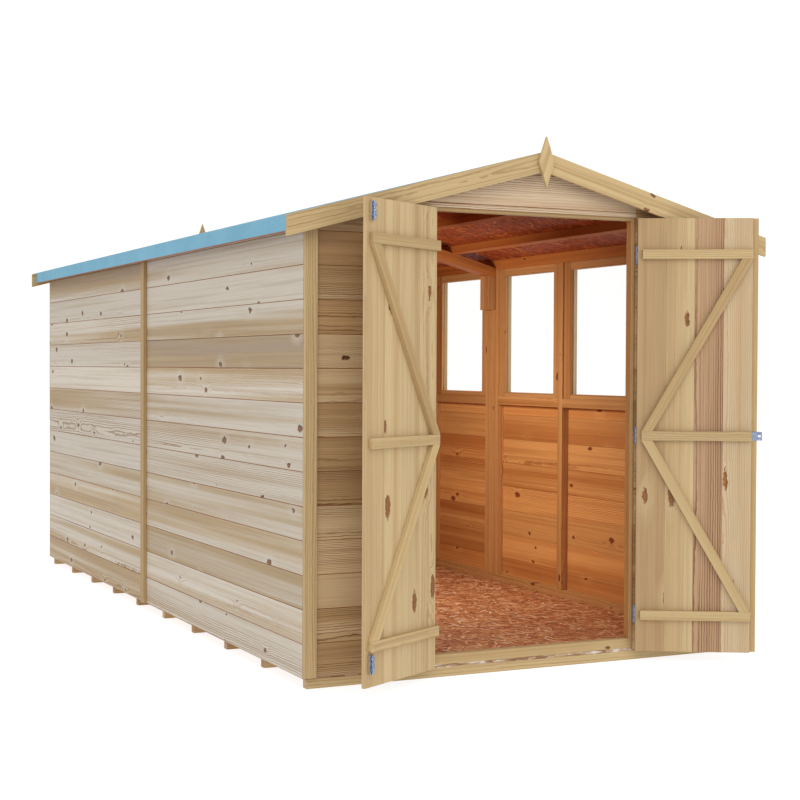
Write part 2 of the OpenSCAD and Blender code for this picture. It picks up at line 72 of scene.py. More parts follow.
Colour = tuple[float, float, float, float]
Material = bpy.types.Material
Piece = bpy.types.Object
Socket = bpy.types.NodeSocket
UP = Vector((0.0, 0.0, 1.0))
LEFTWARD = Vector((-1.0, 0.0, 0.0))
RIGHTWARD = Vector((1.0, 0.0, 0.0))
FORWARD = Vector((0.0, -1.0, 0.0))
REARWARD = Vector((0.0, 1.0, 0.0))


class Body(Enum):
    """The bodies that pieces ride on."""

    SHED = "shed"
    LEFT_DOOR = "left_door"
    RIGHT_DOOR = "right_door"


class Slot(Enum):
    """The record's material slots."""

    BOARDS = "pine_boards"
    TRIM = "trim_pine"
    DOOR = "door_pine"
    FRAME = "frame_pine"
    STRAND = "strand_board"
    ROOF = "roof_membrane"
    ZINC = "zinc_steel"
    GLASS = "window_glass"


def paint(red: int, green: int, blue: int) -> Colour:
    """A screen colour of three numbers up to 255 as linear light."""

    def linear(level: int) -> float:
        share = level / 255.0
        return share / 12.92 if share <= 0.04045 else ((share + 0.055) / 1.055) ** 2.4

    return (linear(red), linear(green), linear(blue), 1.0)


# --------------------------------------------------------------------------------------------------------- finishes


class Desk:
    """A material's node tree, with short ways to add nodes and join them."""

    def __init__(self, name: str) -> None:
        """Makes an empty material."""
        self.material = bpy.data.materials.new(name)
        self.material.use_nodes = True
        self.tree = self.material.node_tree
        self.shader = self.tree.nodes["Principled BSDF"]

    def node(self, kind: str, **settings: object) -> bpy.types.Node:
        """Adds a node of a type, named without its leading ShaderNode, and sets its own fields."""
        made = self.tree.nodes.new("ShaderNode" + kind)
        for name, value in settings.items():
            setattr(made, name, value)
        return made

    def feed(self, socket: Socket, value: object) -> None:
        """Joins a socket to another, or sets its value."""
        if isinstance(value, Socket):
            self.tree.links.new(value, socket)
        elif value is not None:
            socket.default_value = value

    def attribute(self, name: str, output: str) -> Socket:
        """Reads one of the piece's own attributes."""
        return self.node("Attribute", attribute_name=name).outputs[output]

    def place(self) -> Socket:
        """The point on the piece, in metres."""
        return self.node("TexCoord").outputs["Object"]

    def math(self, work: str, first: object, second: object = None, clamp: bool = False) -> Socket:
        """One sum on numbers."""
        made = self.node("Math", operation=work, use_clamp=clamp)
        self.feed(made.inputs[0], first)
        self.feed(made.inputs[1], second)
        return made.outputs[0]

    def plus(self, first: object, second: object) -> Socket:
        """Two numbers added."""
        return self.math("ADD", first, second)

    def times(self, first: object, second: object) -> Socket:
        """Two numbers multiplied."""
        return self.math("MULTIPLY", first, second)

    def vector(self, work: str, first: object, second: object = None) -> Socket:
        """One sum on vectors; a length comes out as a number."""
        made = self.node("VectorMath", operation=work)
        self.feed(made.inputs[0], first)
        self.feed(made.inputs[1], second)
        return made.outputs["Value" if work == "LENGTH" else "Vector"]

    def noise(self, where: object, scale: float, detail: float = 1.0, output: str = "Fac") -> Socket:
        """Cloudy noise.

        Args:
            where: the point to read.
            scale: clouds in a metre.
            detail: the number of finer layers.
            output: Fac for a number, Color for three.

        Returns:
            The noise's socket.
        """
        made = self.node("TexNoise")
        self.feed(made.inputs["Vector"], where)
        made.inputs["Scale"].default_value = scale
        made.inputs["Detail"].default_value = detail
        return made.outputs[output]

    def streaks(self, plank: object, along: float, across: float, detail: float = 1.0, output: str = "Fac") -> Socket:
        """Noise with its own scales along and across a board."""
        return self.noise(self.vector("MULTIPLY", plank, (along, across, across)), 1.0, detail, output)

    def sway(self, clouds: object, reach: tuple[float, float, float]) -> Socket:
        """A shift by three-part noise, about nought."""
        return self.vector("MULTIPLY", self.vector("SUBTRACT", clouds, (0.5, 0.5, 0.5)), reach)

    def cells(self, where: object, scale: float = 1.0, **settings: object) -> tuple[Socket, Socket]:
        """A number for each cell of a pattern of cells, and the cell's middle."""
        made = self.node("TexVoronoi", **settings)
        made.inputs["Scale"].default_value = scale
        self.feed(made.inputs["Vector"], where)
        parts = self.node("SeparateColor")
        self.feed(parts.inputs[0], made.outputs["Color"])
        return parts.outputs[0], made.outputs["Position"]

    def span(
        self, value: object, low: object, high: object, start: object, end: object, smooth: bool = False
    ) -> Socket:
        """Carries a number from one span to another, held within it."""
        made = self.node("MapRange", clamp=True, interpolation_type="SMOOTHSTEP" if smooth else "LINEAR")
        for socket, given in zip(made.inputs, (value, low, high, start, end), strict=False):
            self.feed(socket, given)
        return made.outputs[0]

    def ramp(self, factor: object, stops: Sequence[tuple[float, Colour]]) -> Socket:
        """Colours along a ramp."""
        made = self.node("ValToRGB")
        points = made.color_ramp.elements
        while len(points) < len(stops):
            points.new(0.5)
        for point, (position, colour) in zip(points, stops, strict=True):
            point.position = position
            point.color = colour
        self.feed(made.inputs[0], factor)
        return made.outputs[0]

    def blend(self, factor: object, first: object, second: object, way: str = "MIX") -> Socket:
        """Mixes two colours."""
        made = self.node("Mix", data_type="RGBA", blend_type=way)
        for socket, given in ((made.inputs[0], factor), (made.inputs[6], first), (made.inputs[7], second)):
            self.feed(socket, given)
        return made.outputs[2]

    def relief(self, height: object, strength: float, depth: float) -> None:
        """Gives the surface a relief of a depth in metres."""
        made = self.node("Bump")
        made.inputs["Strength"].default_value = strength
        made.inputs["Distance"].default_value = depth
        self.feed(made.inputs["Height"], height)
        self.feed(self.shader.inputs["Normal"], made.outputs[0])

    def set(self, **values: object) -> Material:
        """Sets the shader's sockets, with a space written as an underscore, and returns the material."""
        for name, value in values.items():
            self.feed(self.shader.inputs[name.replace("_", " ")], value)
        return self.material


@dataclass(frozen=True)
class Timber:
    """Sawn and planed softwood, whose figure follows each board's own length."""

    name: str
    pale: Colour
    tan: Colour
    rose: Colour
    late: Colour
    knot: Colour
    ring_pitch: float = 0.0075
    ring_strength: float = 0.6
    ring_floor: float = 0.2
    band_width: float = 9.0
    board_change: float = 0.35
    knot_spread: tuple[float, float, float] = (2.4, 8.5, 1.0)
    knot_share: float = 0.42
    knot_radius: float = 0.012
    knot_squeeze: float = 0.55
    halo_reach: float = 0.055
    halo_light: float = 0.7
    streak_strength: float = 0.3
    tone_low: float = 0.86
    tone_high: float = 1.08
    roughness: float = 0.62

    def make(self) -> Material:
        """Builds the wood: broad bands, growth rings that bend round the knots, and fine fibres."""
        desk = Desk(self.name)
        plank = desk.attribute("plank", "Vector")
        tone = desk.attribute("tone", "Fac")
        away, aside, luck = self._knots(desk, plank)
        radius = desk.span(luck, 1.0 - self.knot_share, 1.0, 0.0, self.knot_radius)
        halo = desk.times(desk.span(away, 0.0, self.halo_reach, 1.0, 0.0, True), desk.times(radius, 60.0))
        chosen = desk.span(desk.math("FRACT", desk.times(tone, 17.3)), 0.3, 0.75, self.ring_floor, 1.0)
        patches = desk.span(desk.streaks(plank, 0.4, 10.0), 0.4, 0.62, 0.25, 1.0, True)
        figure = desk.times(self._rings(desk, plank, halo), desk.times(chosen, patches))
        streak = desk.span(desk.streaks(plank, 0.7, 75.0), 0.5, 0.75, 0.0, self.streak_strength)
        colour = desk.blend(streak, self._bands(desk, plank, tone), self.late)
        colour = desk.blend(desk.math("MULTIPLY", halo, self.halo_light, True), colour, self.pale)
        colour = desk.blend(desk.times(figure, self.ring_strength), colour, self.late)
        core = desk.span(away, desk.times(radius, 0.7), desk.plus(radius, 0.0006), 1.0, 0.0, True)
        rim = desk.span(aside, desk.times(radius, 0.65), desk.times(radius, 0.95), 0.0, 1.0)
        centre = desk.blend(desk.span(desk.noise(plank, 160.0), 0.35, 0.65, 0.0, 0.65), self.late, self.knot)
        colour = desk.blend(core, colour, desk.blend(rim, centre, self.knot))
        fibre = desk.streaks(plank, 7.0, 380.0)
        light = desk.times(
            desk.span(tone, 0.0, 1.0, self.tone_low, self.tone_high), desk.span(fibre, 0.3, 0.7, 0.93, 1.06)
        )
        even = desk.node("CombineXYZ")
        for socket in even.inputs:
            desk.feed(socket, light)
        desk.relief(desk.plus(desk.times(fibre, 0.5), desk.times(figure, 0.5)), 0.45, 0.0006)
        return desk.set(
            Base_Color=desk.blend(1.0, colour, even.outputs[0], "MULTIPLY"), Specular_IOR_Level=0.3,
            Roughness=desk.span(fibre, 0.3, 0.7, self.roughness - 0.06, self.roughness + 0.08),
        )

    def _bands(self, desk: Desk, plank: object, tone: object) -> Socket:
        """Broad bands of colour along the board, with a shift of its own."""
        broad = desk.streaks(plank, 0.16, self.band_width, 3.0)
        own = desk.times(desk.math("FRACT", desk.times(tone, 7.7)), self.board_change)
        band = desk.plus(desk.times(broad, 1.0 - self.board_change), own)
        colours = (self.rose, self.tan, self.pale, self.pale, self.tan, self.rose)
        return desk.ramp(band, list(zip((0.27, 0.38, 0.5, 0.6, 0.7, 0.8), colours, strict=True)))

    def _knots(self, desk: Desk, plank: object) -> tuple[Socket, ...]:
        """The distances from the nearest knot and from a point beside it in metres, and the knot's own number."""
        flat = desk.vector("MULTIPLY", plank, (*self.knot_spread[:2], 0.0))
        luck, middle = desk.cells(flat, voronoi_dimensions="2D")
        offset = desk.vector("DIVIDE", desk.vector("SUBTRACT", flat, middle), self.knot_spread)
        offset = desk.vector("MULTIPLY", offset, (self.knot_squeeze, 1.0, 1.0))
        offset = desk.vector("ADD", offset, desk.sway(desk.noise(plank, 55.0, 1.0, "Color"), (0.016, 0.016, 0.0)))
        beside = desk.vector("ADD", offset, (0.0015, 0.0045, 0.0))
        return desk.vector("LENGTH", offset), desk.vector("LENGTH", beside), luck

    def _rings(self, desk: Desk, plank: object, halo: object) -> Socket:
        """Growth rings about a heart that lies behind the board, from 0 in early wood to 1 in late wood."""
        bend = desk.sway(desk.streaks(plank, 0.75, 6.0, 2.0, "Color"), (0.0, 0.014, 0.034))
        jitter = desk.sway(desk.streaks(plank, 22.0, 60.0, 1.0, "Color"), (0.0, 0.004, 0.004))
        heart = desk.vector("ADD", desk.vector("MULTIPLY", plank, (0.0, 1.0, 1.0)), desk.vector("ADD", bend, jitter))
        radius = desk.plus(desk.vector("LENGTH", heart), desk.times(halo, 0.014))
        radius = desk.plus(radius, desk.times(desk.streaks(plank, 0.25, 40.0), 0.009))
        turns = desk.math("FRACT", desk.math("DIVIDE", radius, self.ring_pitch))
        return desk.times(desk.span(turns, 0.5, 0.88, 0.0, 1.0, True), desk.span(turns, 0.92, 1.0, 1.0, 0.0, True))


@dataclass(frozen=True)
class Strand:
    """The flakes of strand board, each with its own tone."""

    name: str
    stops: tuple[tuple[float, Colour], ...]

    def make(self) -> Material:
        """Builds the flakes' finish, with fibres along each flake."""
        desk = Desk(self.name)
        colour = desk.ramp(desk.attribute("tone", "Fac"), self.stops)
        fibre = desk.streaks(desk.attribute("plank", "Vector"), 12.0, 330.0, 2.0)
        colour = desk.blend(desk.span(fibre, 0.35, 0.65, 0.0, 0.4), colour, self.stops[0][1])
        desk.relief(fibre, 0.5, 0.0005)
        return desk.set(Base_Color=colour, Roughness=desk.span(fibre, 0.3, 0.7, 0.5, 0.7))


@dataclass(frozen=True)
class StrandCore:
    """The face of strand board between and under its loose flakes."""

    name: str
    dark: Colour
    mid: Colour
    light: Colour

    def make(self) -> Material:
        """Builds pressed flakes from two stretched cell patterns."""
        desk = Desk(self.name)
        place = desk.place()
        layers = []
        for turn, stretch in ((0.4, (18.0, 95.0, 95.0)), (-0.5, (22.0, 110.0, 110.0))):
            turned = desk.node("Mapping")
            turned.inputs["Rotation"].default_value = (0.0, 0.0, turn)
            turned.inputs["Scale"].default_value = stretch
            desk.feed(turned.inputs["Vector"], place)
            layers.append(desk.cells(turned.outputs[0])[0])
        value = desk.times(desk.plus(*layers), 0.5)
        colour = desk.ramp(value, [(0.25, self.dark), (0.55, self.mid), (0.85, self.light)])
        grit = desk.noise(place, 260.0, 2.0)
        colour = desk.blend(desk.span(grit, 0.4, 0.7, 0.0, 0.35), colour, self.dark)
        desk.relief(desk.plus(value, desk.times(grit, 0.4)), 0.6, 0.001)
        return desk.set(Base_Color=colour, Roughness=desk.span(grit, 0.3, 0.7, 0.6, 0.8))


@dataclass(frozen=True)
class Membrane:
    """A matt fibrous roof membrane."""

    name: str = "roof membrane"
    low: Colour = paint(102, 153, 176)
    high: Colour = paint(112, 162, 185)
    fibre: Colour = paint(132, 176, 196)

    def make(self) -> Material:
        """Builds the membrane's faint mottling and pressed fibres."""
        desk = Desk(self.name)
        place = desk.place()
        weave = desk.noise(desk.vector("MULTIPLY", place, (1.0, 0.45, 1.0)), 420.0, 2.0)
        colour = desk.ramp(desk.noise(place, 5.0, 3.0), [(0.3, self.low), (0.7, self.high)])
        colour = desk.blend(desk.span(weave, 0.45, 0.75, 0.0, 0.3), colour, self.fibre)
        desk.relief(weave, 0.35, 0.0005)
        return desk.set(Base_Color=colour, Roughness=desk.span(weave, 0.3, 0.7, 0.72, 0.85), Specular_IOR_Level=0.25)


@dataclass(frozen=True)
class ZincPlate:
    """Bright zinc-plated steel with a bluish cast."""

    name: str = "zinc plate"
    low: Colour = paint(106, 122, 150)
    high: Colour = paint(158, 170, 196)
    handled: Colour = paint(62, 78, 108)

    def make(self) -> Material:
        """Builds the plate's crystals and handling marks."""
        desk = Desk(self.name)
        place = desk.place()
        crystal, _ = desk.cells(place, 300.0)
        haze = desk.noise(place, 90.0, 3.0)
        colour = desk.ramp(crystal, [(0.1, self.low), (0.9, self.high)])
        colour = desk.blend(desk.span(haze, 0.5, 0.8, 0.0, 0.35), colour, self.handled)
        desk.relief(crystal, 0.15, 0.0002)
        return desk.set(Base_Color=colour, Metallic=0.55, Roughness=desk.span(haze, 0.3, 0.7, 0.34, 0.5))


@dataclass(frozen=True)
class ClearGlass:
    """Clear horticultural glass."""

    name: str = "clear glass"
    tint: Colour = (0.93, 0.97, 0.96, 1.0)

    def make(self) -> Material:
        """Builds the pane: nearly unseen, with a faint smear in its gloss."""
        desk = Desk(self.name)
        smear = desk.noise(desk.place(), 9.0, 3.0)
        return desk.set(Base_Color=self.tint, Roughness=desk.span(smear, 0.4, 0.8, 0.01, 0.07), Alpha=0.06)


Finish = Timber | Strand | StrandCore | Membrane | ZincPlate | ClearGlass

OUTDOOR = Timber(
    "outdoor pine boards", paint(190, 181, 167), paint(164, 141, 106), paint(152, 133, 115), paint(132, 96, 52),
    paint(78, 46, 44), ring_strength=0.85, knot_share=0.5, knot_radius=0.018, tone_low=0.9, tone_high=1.04,
    band_width=12.0,
)
# Darker tan pine: partly the front panels' own darker boards, partly painted shade cast by the open leaves beside the
# doorway and on the bearers' ends.
SHADE_DARKENED_PINE = Timber(
    "shade-darkened pine boards", paint(190, 162, 124), paint(168, 134, 92), paint(154, 120, 84), paint(106, 68, 36),
    paint(62, 36, 24), ring_strength=0.95, ring_floor=0.6, knot_share=0.3, ring_pitch=0.006, tone_low=0.84,
)
GABLE = Timber(
    "gable pine boards", paint(198, 178, 150), paint(188, 164, 134), paint(182, 156, 130), paint(136, 92, 56),
    paint(84, 54, 36), ring_strength=0.95, ring_floor=1.0, knot_share=0.1, tone_low=0.95,
)
INDOOR = Timber(
    "indoor pine boards", paint(218, 158, 94), paint(194, 128, 68), paint(174, 106, 52), paint(140, 68, 26),
    paint(116, 54, 24), ring_strength=0.75, knot_share=0.45, knot_radius=0.02, tone_low=0.88, band_width=12.0,
)
TRIM = Timber(
    "pine trim", paint(182, 158, 114), paint(170, 142, 98), paint(158, 130, 88), paint(134, 98, 58),
    paint(84, 50, 30), ring_strength=0.55, knot_share=0.3, knot_radius=0.012, band_width=22.0, tone_low=0.9,
)
DOOR = Timber(
    "door pine boards", paint(187, 164, 123), paint(175, 148, 107), paint(164, 136, 98), paint(136, 94, 54),
    paint(108, 64, 36), ring_strength=0.5, knot_share=0.65, knot_radius=0.02, knot_squeeze=0.35, band_width=14.0,
    tone_low=0.93,
)
FIGURED = Timber(
    "figured door pine", paint(174, 142, 108), paint(162, 128, 96), paint(152, 116, 88), paint(104, 54, 32),
    paint(76, 40, 26), ring_strength=1.0, ring_floor=1.0, knot_share=0.2, tone_low=0.95, ring_pitch=0.009,
)
RESIN = Timber(
    "pale door pine", paint(186, 168, 138), paint(178, 158, 126), paint(172, 150, 118), paint(158, 104, 44),
    paint(104, 62, 28), ring_strength=0.5, knot_share=0.75, knot_radius=0.014, knot_squeeze=0.22,
    tone_low=0.95,
)
FRAME = Timber(
    "indoor framing pine", paint(196, 144, 90), paint(180, 126, 72), paint(164, 108, 58), paint(132, 74, 34),
    paint(92, 46, 22), ring_strength=0.7, knot_share=0.45, knot_radius=0.015, band_width=20.0, tone_low=0.88,
)
# Framing pine painted darker and redder for the timbers under the roof: painted shade deep inside the shed.
ROOF_SHADE_FRAME = Timber(
    "framing pine darkened for roof shade", paint(186, 114, 54), paint(172, 98, 42), paint(152, 80, 34), paint(116, 54, 20),
    paint(76, 32, 14), ring_strength=0.5, knot_share=0.35, knot_radius=0.012, band_width=18.0, tone_low=0.86,
)
SAWN = Timber(
    "sawn board edges", paint(164, 112, 66), paint(150, 98, 54), paint(136, 84, 44), paint(110, 62, 30),
    paint(70, 38, 20), ring_strength=0.3, knot_share=0.1,
)
FLOOR_FLAKES = Strand(
    "floor flakes",
    ((0.0, paint(140, 72, 34)), (0.4, paint(202, 130, 78)), (0.75, paint(230, 176, 124)), (1.0, paint(250, 224, 190))),
)
# The roof boards' flakes: the floor's flakes painted darker and redder, a painted shade under the roof.
ROOF_SHADE_FLAKES = Strand(
    "flakes darkened for roof shade",
    ((0.0, paint(124, 46, 12)), (0.45, paint(160, 70, 20)), (0.85, paint(186, 92, 30)), (1.0, paint(216, 132, 60))),
)
FLOOR_CORE = StrandCore("floor strand board", paint(138, 72, 36), paint(196, 124, 74), paint(232, 190, 146))
FLOOR_EDGE = StrandCore("strand board edge", paint(126, 88, 58), paint(172, 146, 112), paint(206, 196, 186))
# The roof boards' strand board: the floor's board painted darker and redder, a painted shade under the roof.
ROOF_SHADE_CORE = StrandCore("strand board darkened for roof shade", paint(116, 44, 12), paint(162, 72, 22), paint(202, 108, 42))


class Finishes:
    """Each finish's material, made once."""

    def __init__(self) -> None:
        """Starts with none made."""
        self._made: dict[str, Material] = {}

    def of(self, finish: Finish) -> Material:
        """The material of a finish."""
        if finish.name not in self._made:
            self._made[finish.name] = finish.make()
        return self._made[finish.name]


FINISHES = Finishes()
ZINC = ZincPlate()


# ---------------------------------------------------------------------------------------------------------- shaping

SHARP = math.radians(28)
FLAT = math.radians(0.5)
MERGE = 0.00002
NEAR = 1e-5
HEART_RUN = 60.0
HEART_SIDE = 0.06
HEART_DEPTH = (0.012, 0.08)


def clear_selection() -> None:
    """Deselects every object."""
    bpy.ops.object.select_all(action="DESELECT")


def take(piece: Piece) -> None:
    """Makes a piece the only one selected, and the active one."""
    clear_selection()
    piece.select_set(True)
    bpy.context.view_layer.objects.active = piece


@contextmanager
def editing(piece: Piece) -> Iterator[None]:
    """Keeps a piece in edit mode for as long as a block runs, with all of it selected at first."""
    take(piece)
    bpy.ops.object.mode_set(mode="EDIT")
    bpy.ops.mesh.select_all(action="SELECT")
    yield
    bpy.ops.object.mode_set(mode="OBJECT")


def pick(piece: Piece, kind: str, wanted: Callable[[bmesh.types.BMFace | bmesh.types.BMEdge], bool]) -> None:
    """Selects just the faces or the edges that a test passes, in edit mode."""
    bpy.ops.mesh.select_mode(type=kind)
    bpy.ops.mesh.select_all(action="DESELECT")
    mesh = bmesh.from_edit_mesh(piece.data)
    for part in mesh.faces if kind == "FACE" else mesh.edges:
        if wanted(part):
            part.select_set(True)
    bmesh.update_edit_mesh(piece.data)


def bake_place() -> None:
    """Moves the selected objects' places into their meshes."""
    bpy.ops.object.transform_apply(location=True, rotation=True, scale=True)


def add_box(name: str, low: Sequence[float], high: Sequence[float]) -> Piece:
    """Adds a box between its lowest and its highest corner, its place in its mesh."""
    clear_selection()
    low, high = Vector(low), Vector(high)
    bpy.ops.mesh.primitive_cube_add(size=1.0, location=(low + high) / 2)
    made = bpy.context.active_object
    made.name = name
    made.scale = high - low
    bake_place()
    return made


def soften(piece: Piece, width: float, steps: int = 2) -> None:
    """Rounds every sharp edge of a piece."""
    with editing(piece):
        bpy.ops.mesh.select_mode(type="EDGE")
        bpy.ops.mesh.select_all(action="DESELECT")
        bpy.ops.mesh.edges_select_sharp(sharpness=SHARP)
        bpy.ops.mesh.bevel(offset=width, segments=steps, affect="EDGES", clamp_overlap=True)


def smooth(piece: Piece, degrees: float) -> None:
    """Shades a piece smooth, but for its edges sharper than an angle."""
    take(piece)
    bpy.ops.object.shade_smooth_by_angle(angle=math.radians(degrees))


def node_copy(node: str, name: str) -> Piece:
    """A copy of a CAD node's mesh as clean faces, ready to be shaped."""
    made = bpy.data.objects.new(name, frame["nodes"][node].data.copy())
    bpy.context.scene.collection.objects.link(made)
    made.data.materials.clear()
    with editing(made):
        bpy.ops.mesh.remove_doubles(threshold=MERGE)
        bpy.ops.mesh.dissolve_limited(angle_limit=FLAT)
    return made


def cut(piece: Piece, point: Sequence[float], beyond: Sequence[float]) -> None:
    """Cuts off what lies beyond a plane, and closes the cut ends."""
    with editing(piece):
        bpy.ops.mesh.bisect(plane_co=point, plane_no=beyond, clear_outer=True, use_fill=True)


def corners(mesh: bpy.types.Mesh) -> np.ndarray:
    """A mesh's points as an array."""
    found = np.empty(len(mesh.vertices) * 3, np.float32)
    mesh.vertices.foreach_get("co", found)
    return found.reshape(-1, 3).astype(float)


def node_points(node: str) -> np.ndarray:
    """A CAD node's points as an array."""
    return corners(frame["nodes"][node].data)


def loose_parts(mesh: bpy.types.Mesh) -> list[np.ndarray]:
    """The point numbers of each separate solid in a mesh."""
    parent = list(range(len(mesh.vertices)))

    def root(index: int) -> int:
        while parent[index] != index:
            parent[index] = parent[parent[index]]
            index = parent[index]
        return index

    for edge in mesh.edges:
        first, second = root(edge.vertices[0]), root(edge.vertices[1])
        parent[first] = second
    groups: dict[int, list[int]] = {}
    for index in range(len(mesh.vertices)):
        groups.setdefault(root(index), []).append(index)
    return [np.array(group) for group in groups.values()]


def store(mesh: bpy.types.Mesh, plank: np.ndarray, tone: np.ndarray) -> None:
    """Keeps each point's place in its own board, and its board's tone, on a mesh."""
    places = mesh.attributes.new("plank", "FLOAT_VECTOR", "POINT")
    places.data.foreach_set("vector", plank.astype(np.float32).ravel())
    mesh.attributes.new("tone", "FLOAT", "POINT").data.foreach_set("value", tone.astype(np.float32))


def heartwood(chance: random.Random) -> np.ndarray:
    """How far a board is shifted in the wood it is cut from."""
    side = chance.choice((-1.0, 1.0))
    run, aside = chance.uniform(0.0, HEART_RUN), chance.uniform(-HEART_SIDE, HEART_SIDE)
    return np.array((run, aside, side * chance.uniform(*HEART_DEPTH)))


def grain(piece: Piece, chance: random.Random) -> None:
    """Runs the grain along the longest edge of each solid in a piece, in the plane of its widest face."""
    mesh = piece.data
    points = corners(mesh)
    plank, tone = np.zeros_like(points), np.zeros(len(points))
    owner = np.zeros(len(points), int)
    parts = loose_parts(mesh)
    for number, part in enumerate(parts):
        owner[part] = number
    longest: list[tuple[float, np.ndarray]] = [(0.0, np.array(RIGHTWARD))] * len(parts)
    widest: list[tuple[float, np.ndarray]] = [(0.0, np.array(UP))] * len(parts)
    for edge in mesh.edges:
        first, second = edge.vertices
        run = points[second] - points[first]
        length = float(np.linalg.norm(run))
        if length > longest[owner[first]][0]:
            longest[owner[first]] = (length, run / length)
    for face in mesh.polygons:
        number = owner[face.vertices[0]]
        if face.area > widest[number][0]:
            widest[number] = (face.area, np.array(face.normal, float))
    for number, part in enumerate(parts):
        along, out = longest[number][1], widest[number][1]
        local = points[part] - points[part].mean(0)
        plank[part] = local @ np.stack((along, np.cross(out, along), out), 1) + heartwood(chance)
        tone[part] = chance.random()
    store(mesh, plank, tone)


@dataclass(frozen=True)
class Spot:
    """Where one copy of a template goes: its X runs along, its Y across, and its Z out of the face."""

    origin: Vector
    along: Vector
    across: Vector
    length: float = 1.0
    tone: float | None = None


def facing(out: Vector) -> tuple[Vector, Vector]:
    """Along and across for an upright copy whose Z points a given way."""
    return UP.cross(out), UP


def copies(name: str, template: Piece, spots: Sequence[Spot], chance: random.Random) -> Piece:
    """Copies a template to many places, as one piece with a mesh of its own.

    Args:
        name: the piece's name.
        template: the shape to copy, whose X length may be stretched.
        spots: where the copies go.
        chance: the source of each copy's grain and tone.

    Returns:
        The new piece.
    """
    base = corners(template.data)
    faces = [list(face.vertices) for face in template.data.polygons]
    points, plank, tone, loops = [], [], [], []
    for number, spot in enumerate(spots):
        along, across = np.array(spot.along.normalized()), np.array(spot.across.normalized())
        local = base * (spot.length, 1.0, 1.0)
        points.append(np.array(spot.origin) + local @ np.stack((along, across, np.cross(along, across))))
        plank.append(local + heartwood(chance))
        tone.append(np.full(len(base), chance.random() if spot.tone is None else spot.tone))
        first = number * len(base)
        loops += [[first + index for index in face] for face in faces]
    mesh = bpy.data.meshes.new(name)
    mesh.from_pydata(np.concatenate(points).tolist(), [], loops)
    store(mesh, np.concatenate(plank), np.concatenate(tone))
    made = bpy.data.objects.new(name, mesh)
    bpy.context.scene.collection.objects.link(made)
    return made


def join(parts: Sequence[Piece]) -> Piece:
    """Joins objects into the first of them, their places in its mesh."""
    clear_selection()
    for part in parts:
        part.select_set(True)
    bpy.context.view_layer.objects.active = parts[0]
    bake_place()
    bpy.ops.object.join()
    return bpy.context.active_object


FaceTest = Callable[[bpy.types.MeshPolygon], bool]


def looks(way: Vector) -> FaceTest:
    """A test for faces that look a given way."""
    return lambda face: face.normal.dot(way) > 0.7


def dress(piece: Piece, finish: Finish, *others: tuple[Finish, FaceTest]) -> Piece:
    """Gives a piece its finish.

    Args:
        piece: the piece to dress.
        finish: its finish.
        others: other finishes, each with a test for the faces that take it.

    Returns:
        The same piece.
    """
    piece.data.materials.clear()
    piece.data.materials.append(FINISHES.of(finish))
    for number, (other, wanted) in enumerate(others, 1):
        piece.data.materials.append(FINISHES.of(other))
        for face in piece.data.polygons:
            if wanted(face):
                face.material_index = number
    return piece


def settle(piece: Piece, body: Body, slot: Slot, *nodes: str) -> None:
    """Hands a finished piece to its body, in place of the CAD nodes that it stands for."""
    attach(piece, body.value)
    if nodes:
        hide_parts(*nodes)
    log.info("%s: %d faces on %s", piece.name, len(piece.data.polygons), body.value)


def discard(piece: Piece) -> None:
    """Removes a template once it has been copied."""
    bpy.data.objects.remove(piece)


def lay(
    name: str, template: Piece, spots: Sequence[Spot], chance: random.Random, finish: Finish, body: Body, slot: Slot
) -> None:
    """Copies a template, removes it, and settles the copies as one piece with one finish."""
    piece = copies(name, template, spots, chance)
    discard(template)
    settle(dress(piece, finish), body, slot)


def timber(
    node: str, suffix: str, edge: float, chance: random.Random, body: Body, slot: Slot, finish: Finish,
    *others: tuple[Finish, FaceTest],
) -> None:
    """Stands a CAD node's timbers in for it, with eased edges and grain.

    Args:
        node: the CAD node.
        suffix: what its name gains.
        edge: the width of the eased edges.
        chance: the source of the grain.
        body: the body that it rides on.
        slot: its material slot, not used.
        finish: its finish.
        others: other finishes, each with a test for the faces that take it.
    """
    piece = node_copy(node, f"{node}_{suffix}")
    soften(piece, edge)
    grain(piece, chance)
    settle(dress(piece, finish, *others), body, slot, node)


def solid_boxes(node: str) -> list[tuple[Vector, Vector]]:
    """The lowest and highest corner of each solid in a CAD node."""
    probe = node_copy(node, "probe")
    points = corners(probe.data)
    found = [(Vector(points[part].min(0)), Vector(points[part].max(0))) for part in loose_parts(probe.data)]
    discard(probe)
    return sorted(found, key=lambda box: tuple(box[0]))


# ------------------------------------------------------------------------------------------------------- templates


def lap_board(cover: float, thick: float, lap: float, groove: float, edge: float = 0.0012) -> Piece:
    """A wall board one metre long along X, with a lip in front that laps the tongue of the board below.

    Args:
        cover: the height of wall that one board covers.
        thick: its thickness.
        lap: the height of the lip and of the tongue.
        groove: the gap that shows between two boards.
        edge: the width of the eased edges of its face.

    Returns:
        The template, its outer face at Z = thick.
    """
    board = add_box("lap board", (0.0, lap, 0.0), (1.0, cover - groove, thick))
    tongue_gap = 0.001
    rims = (0.0, cover - groove)
    with editing(board):
        bpy.ops.mesh.bisect(plane_co=(0.0, 0.0, thick / 2), plane_no=(0.0, 0.0, 1.0))
        pick(board, "FACE", lambda face: face.normal.y > 0.9 and face.calc_center_median().z < thick / 2)
        bpy.ops.mesh.extrude_region_move(TRANSFORM_OT_translate={"value": (0.0, lap + groove - tongue_gap, 0.0)})
        pick(board, "FACE", lambda face: face.normal.y < -0.9 and face.calc_center_median().z > thick / 2)
        bpy.ops.mesh.extrude_region_move(TRANSFORM_OT_translate={"value": (0.0, -lap, 0.0)})
        pick(
            board, "EDGE",
            lambda line: all(
                abs(v.co.z - thick) < NEAR and min(abs(v.co.y - y) for y in rims) < NEAR for v in line.verts
            )
            and abs(line.verts[0].co.y - line.verts[1].co.y) < NEAR,
        )
        bpy.ops.mesh.bevel(offset=edge, segments=2, affect="EDGES")
    return board


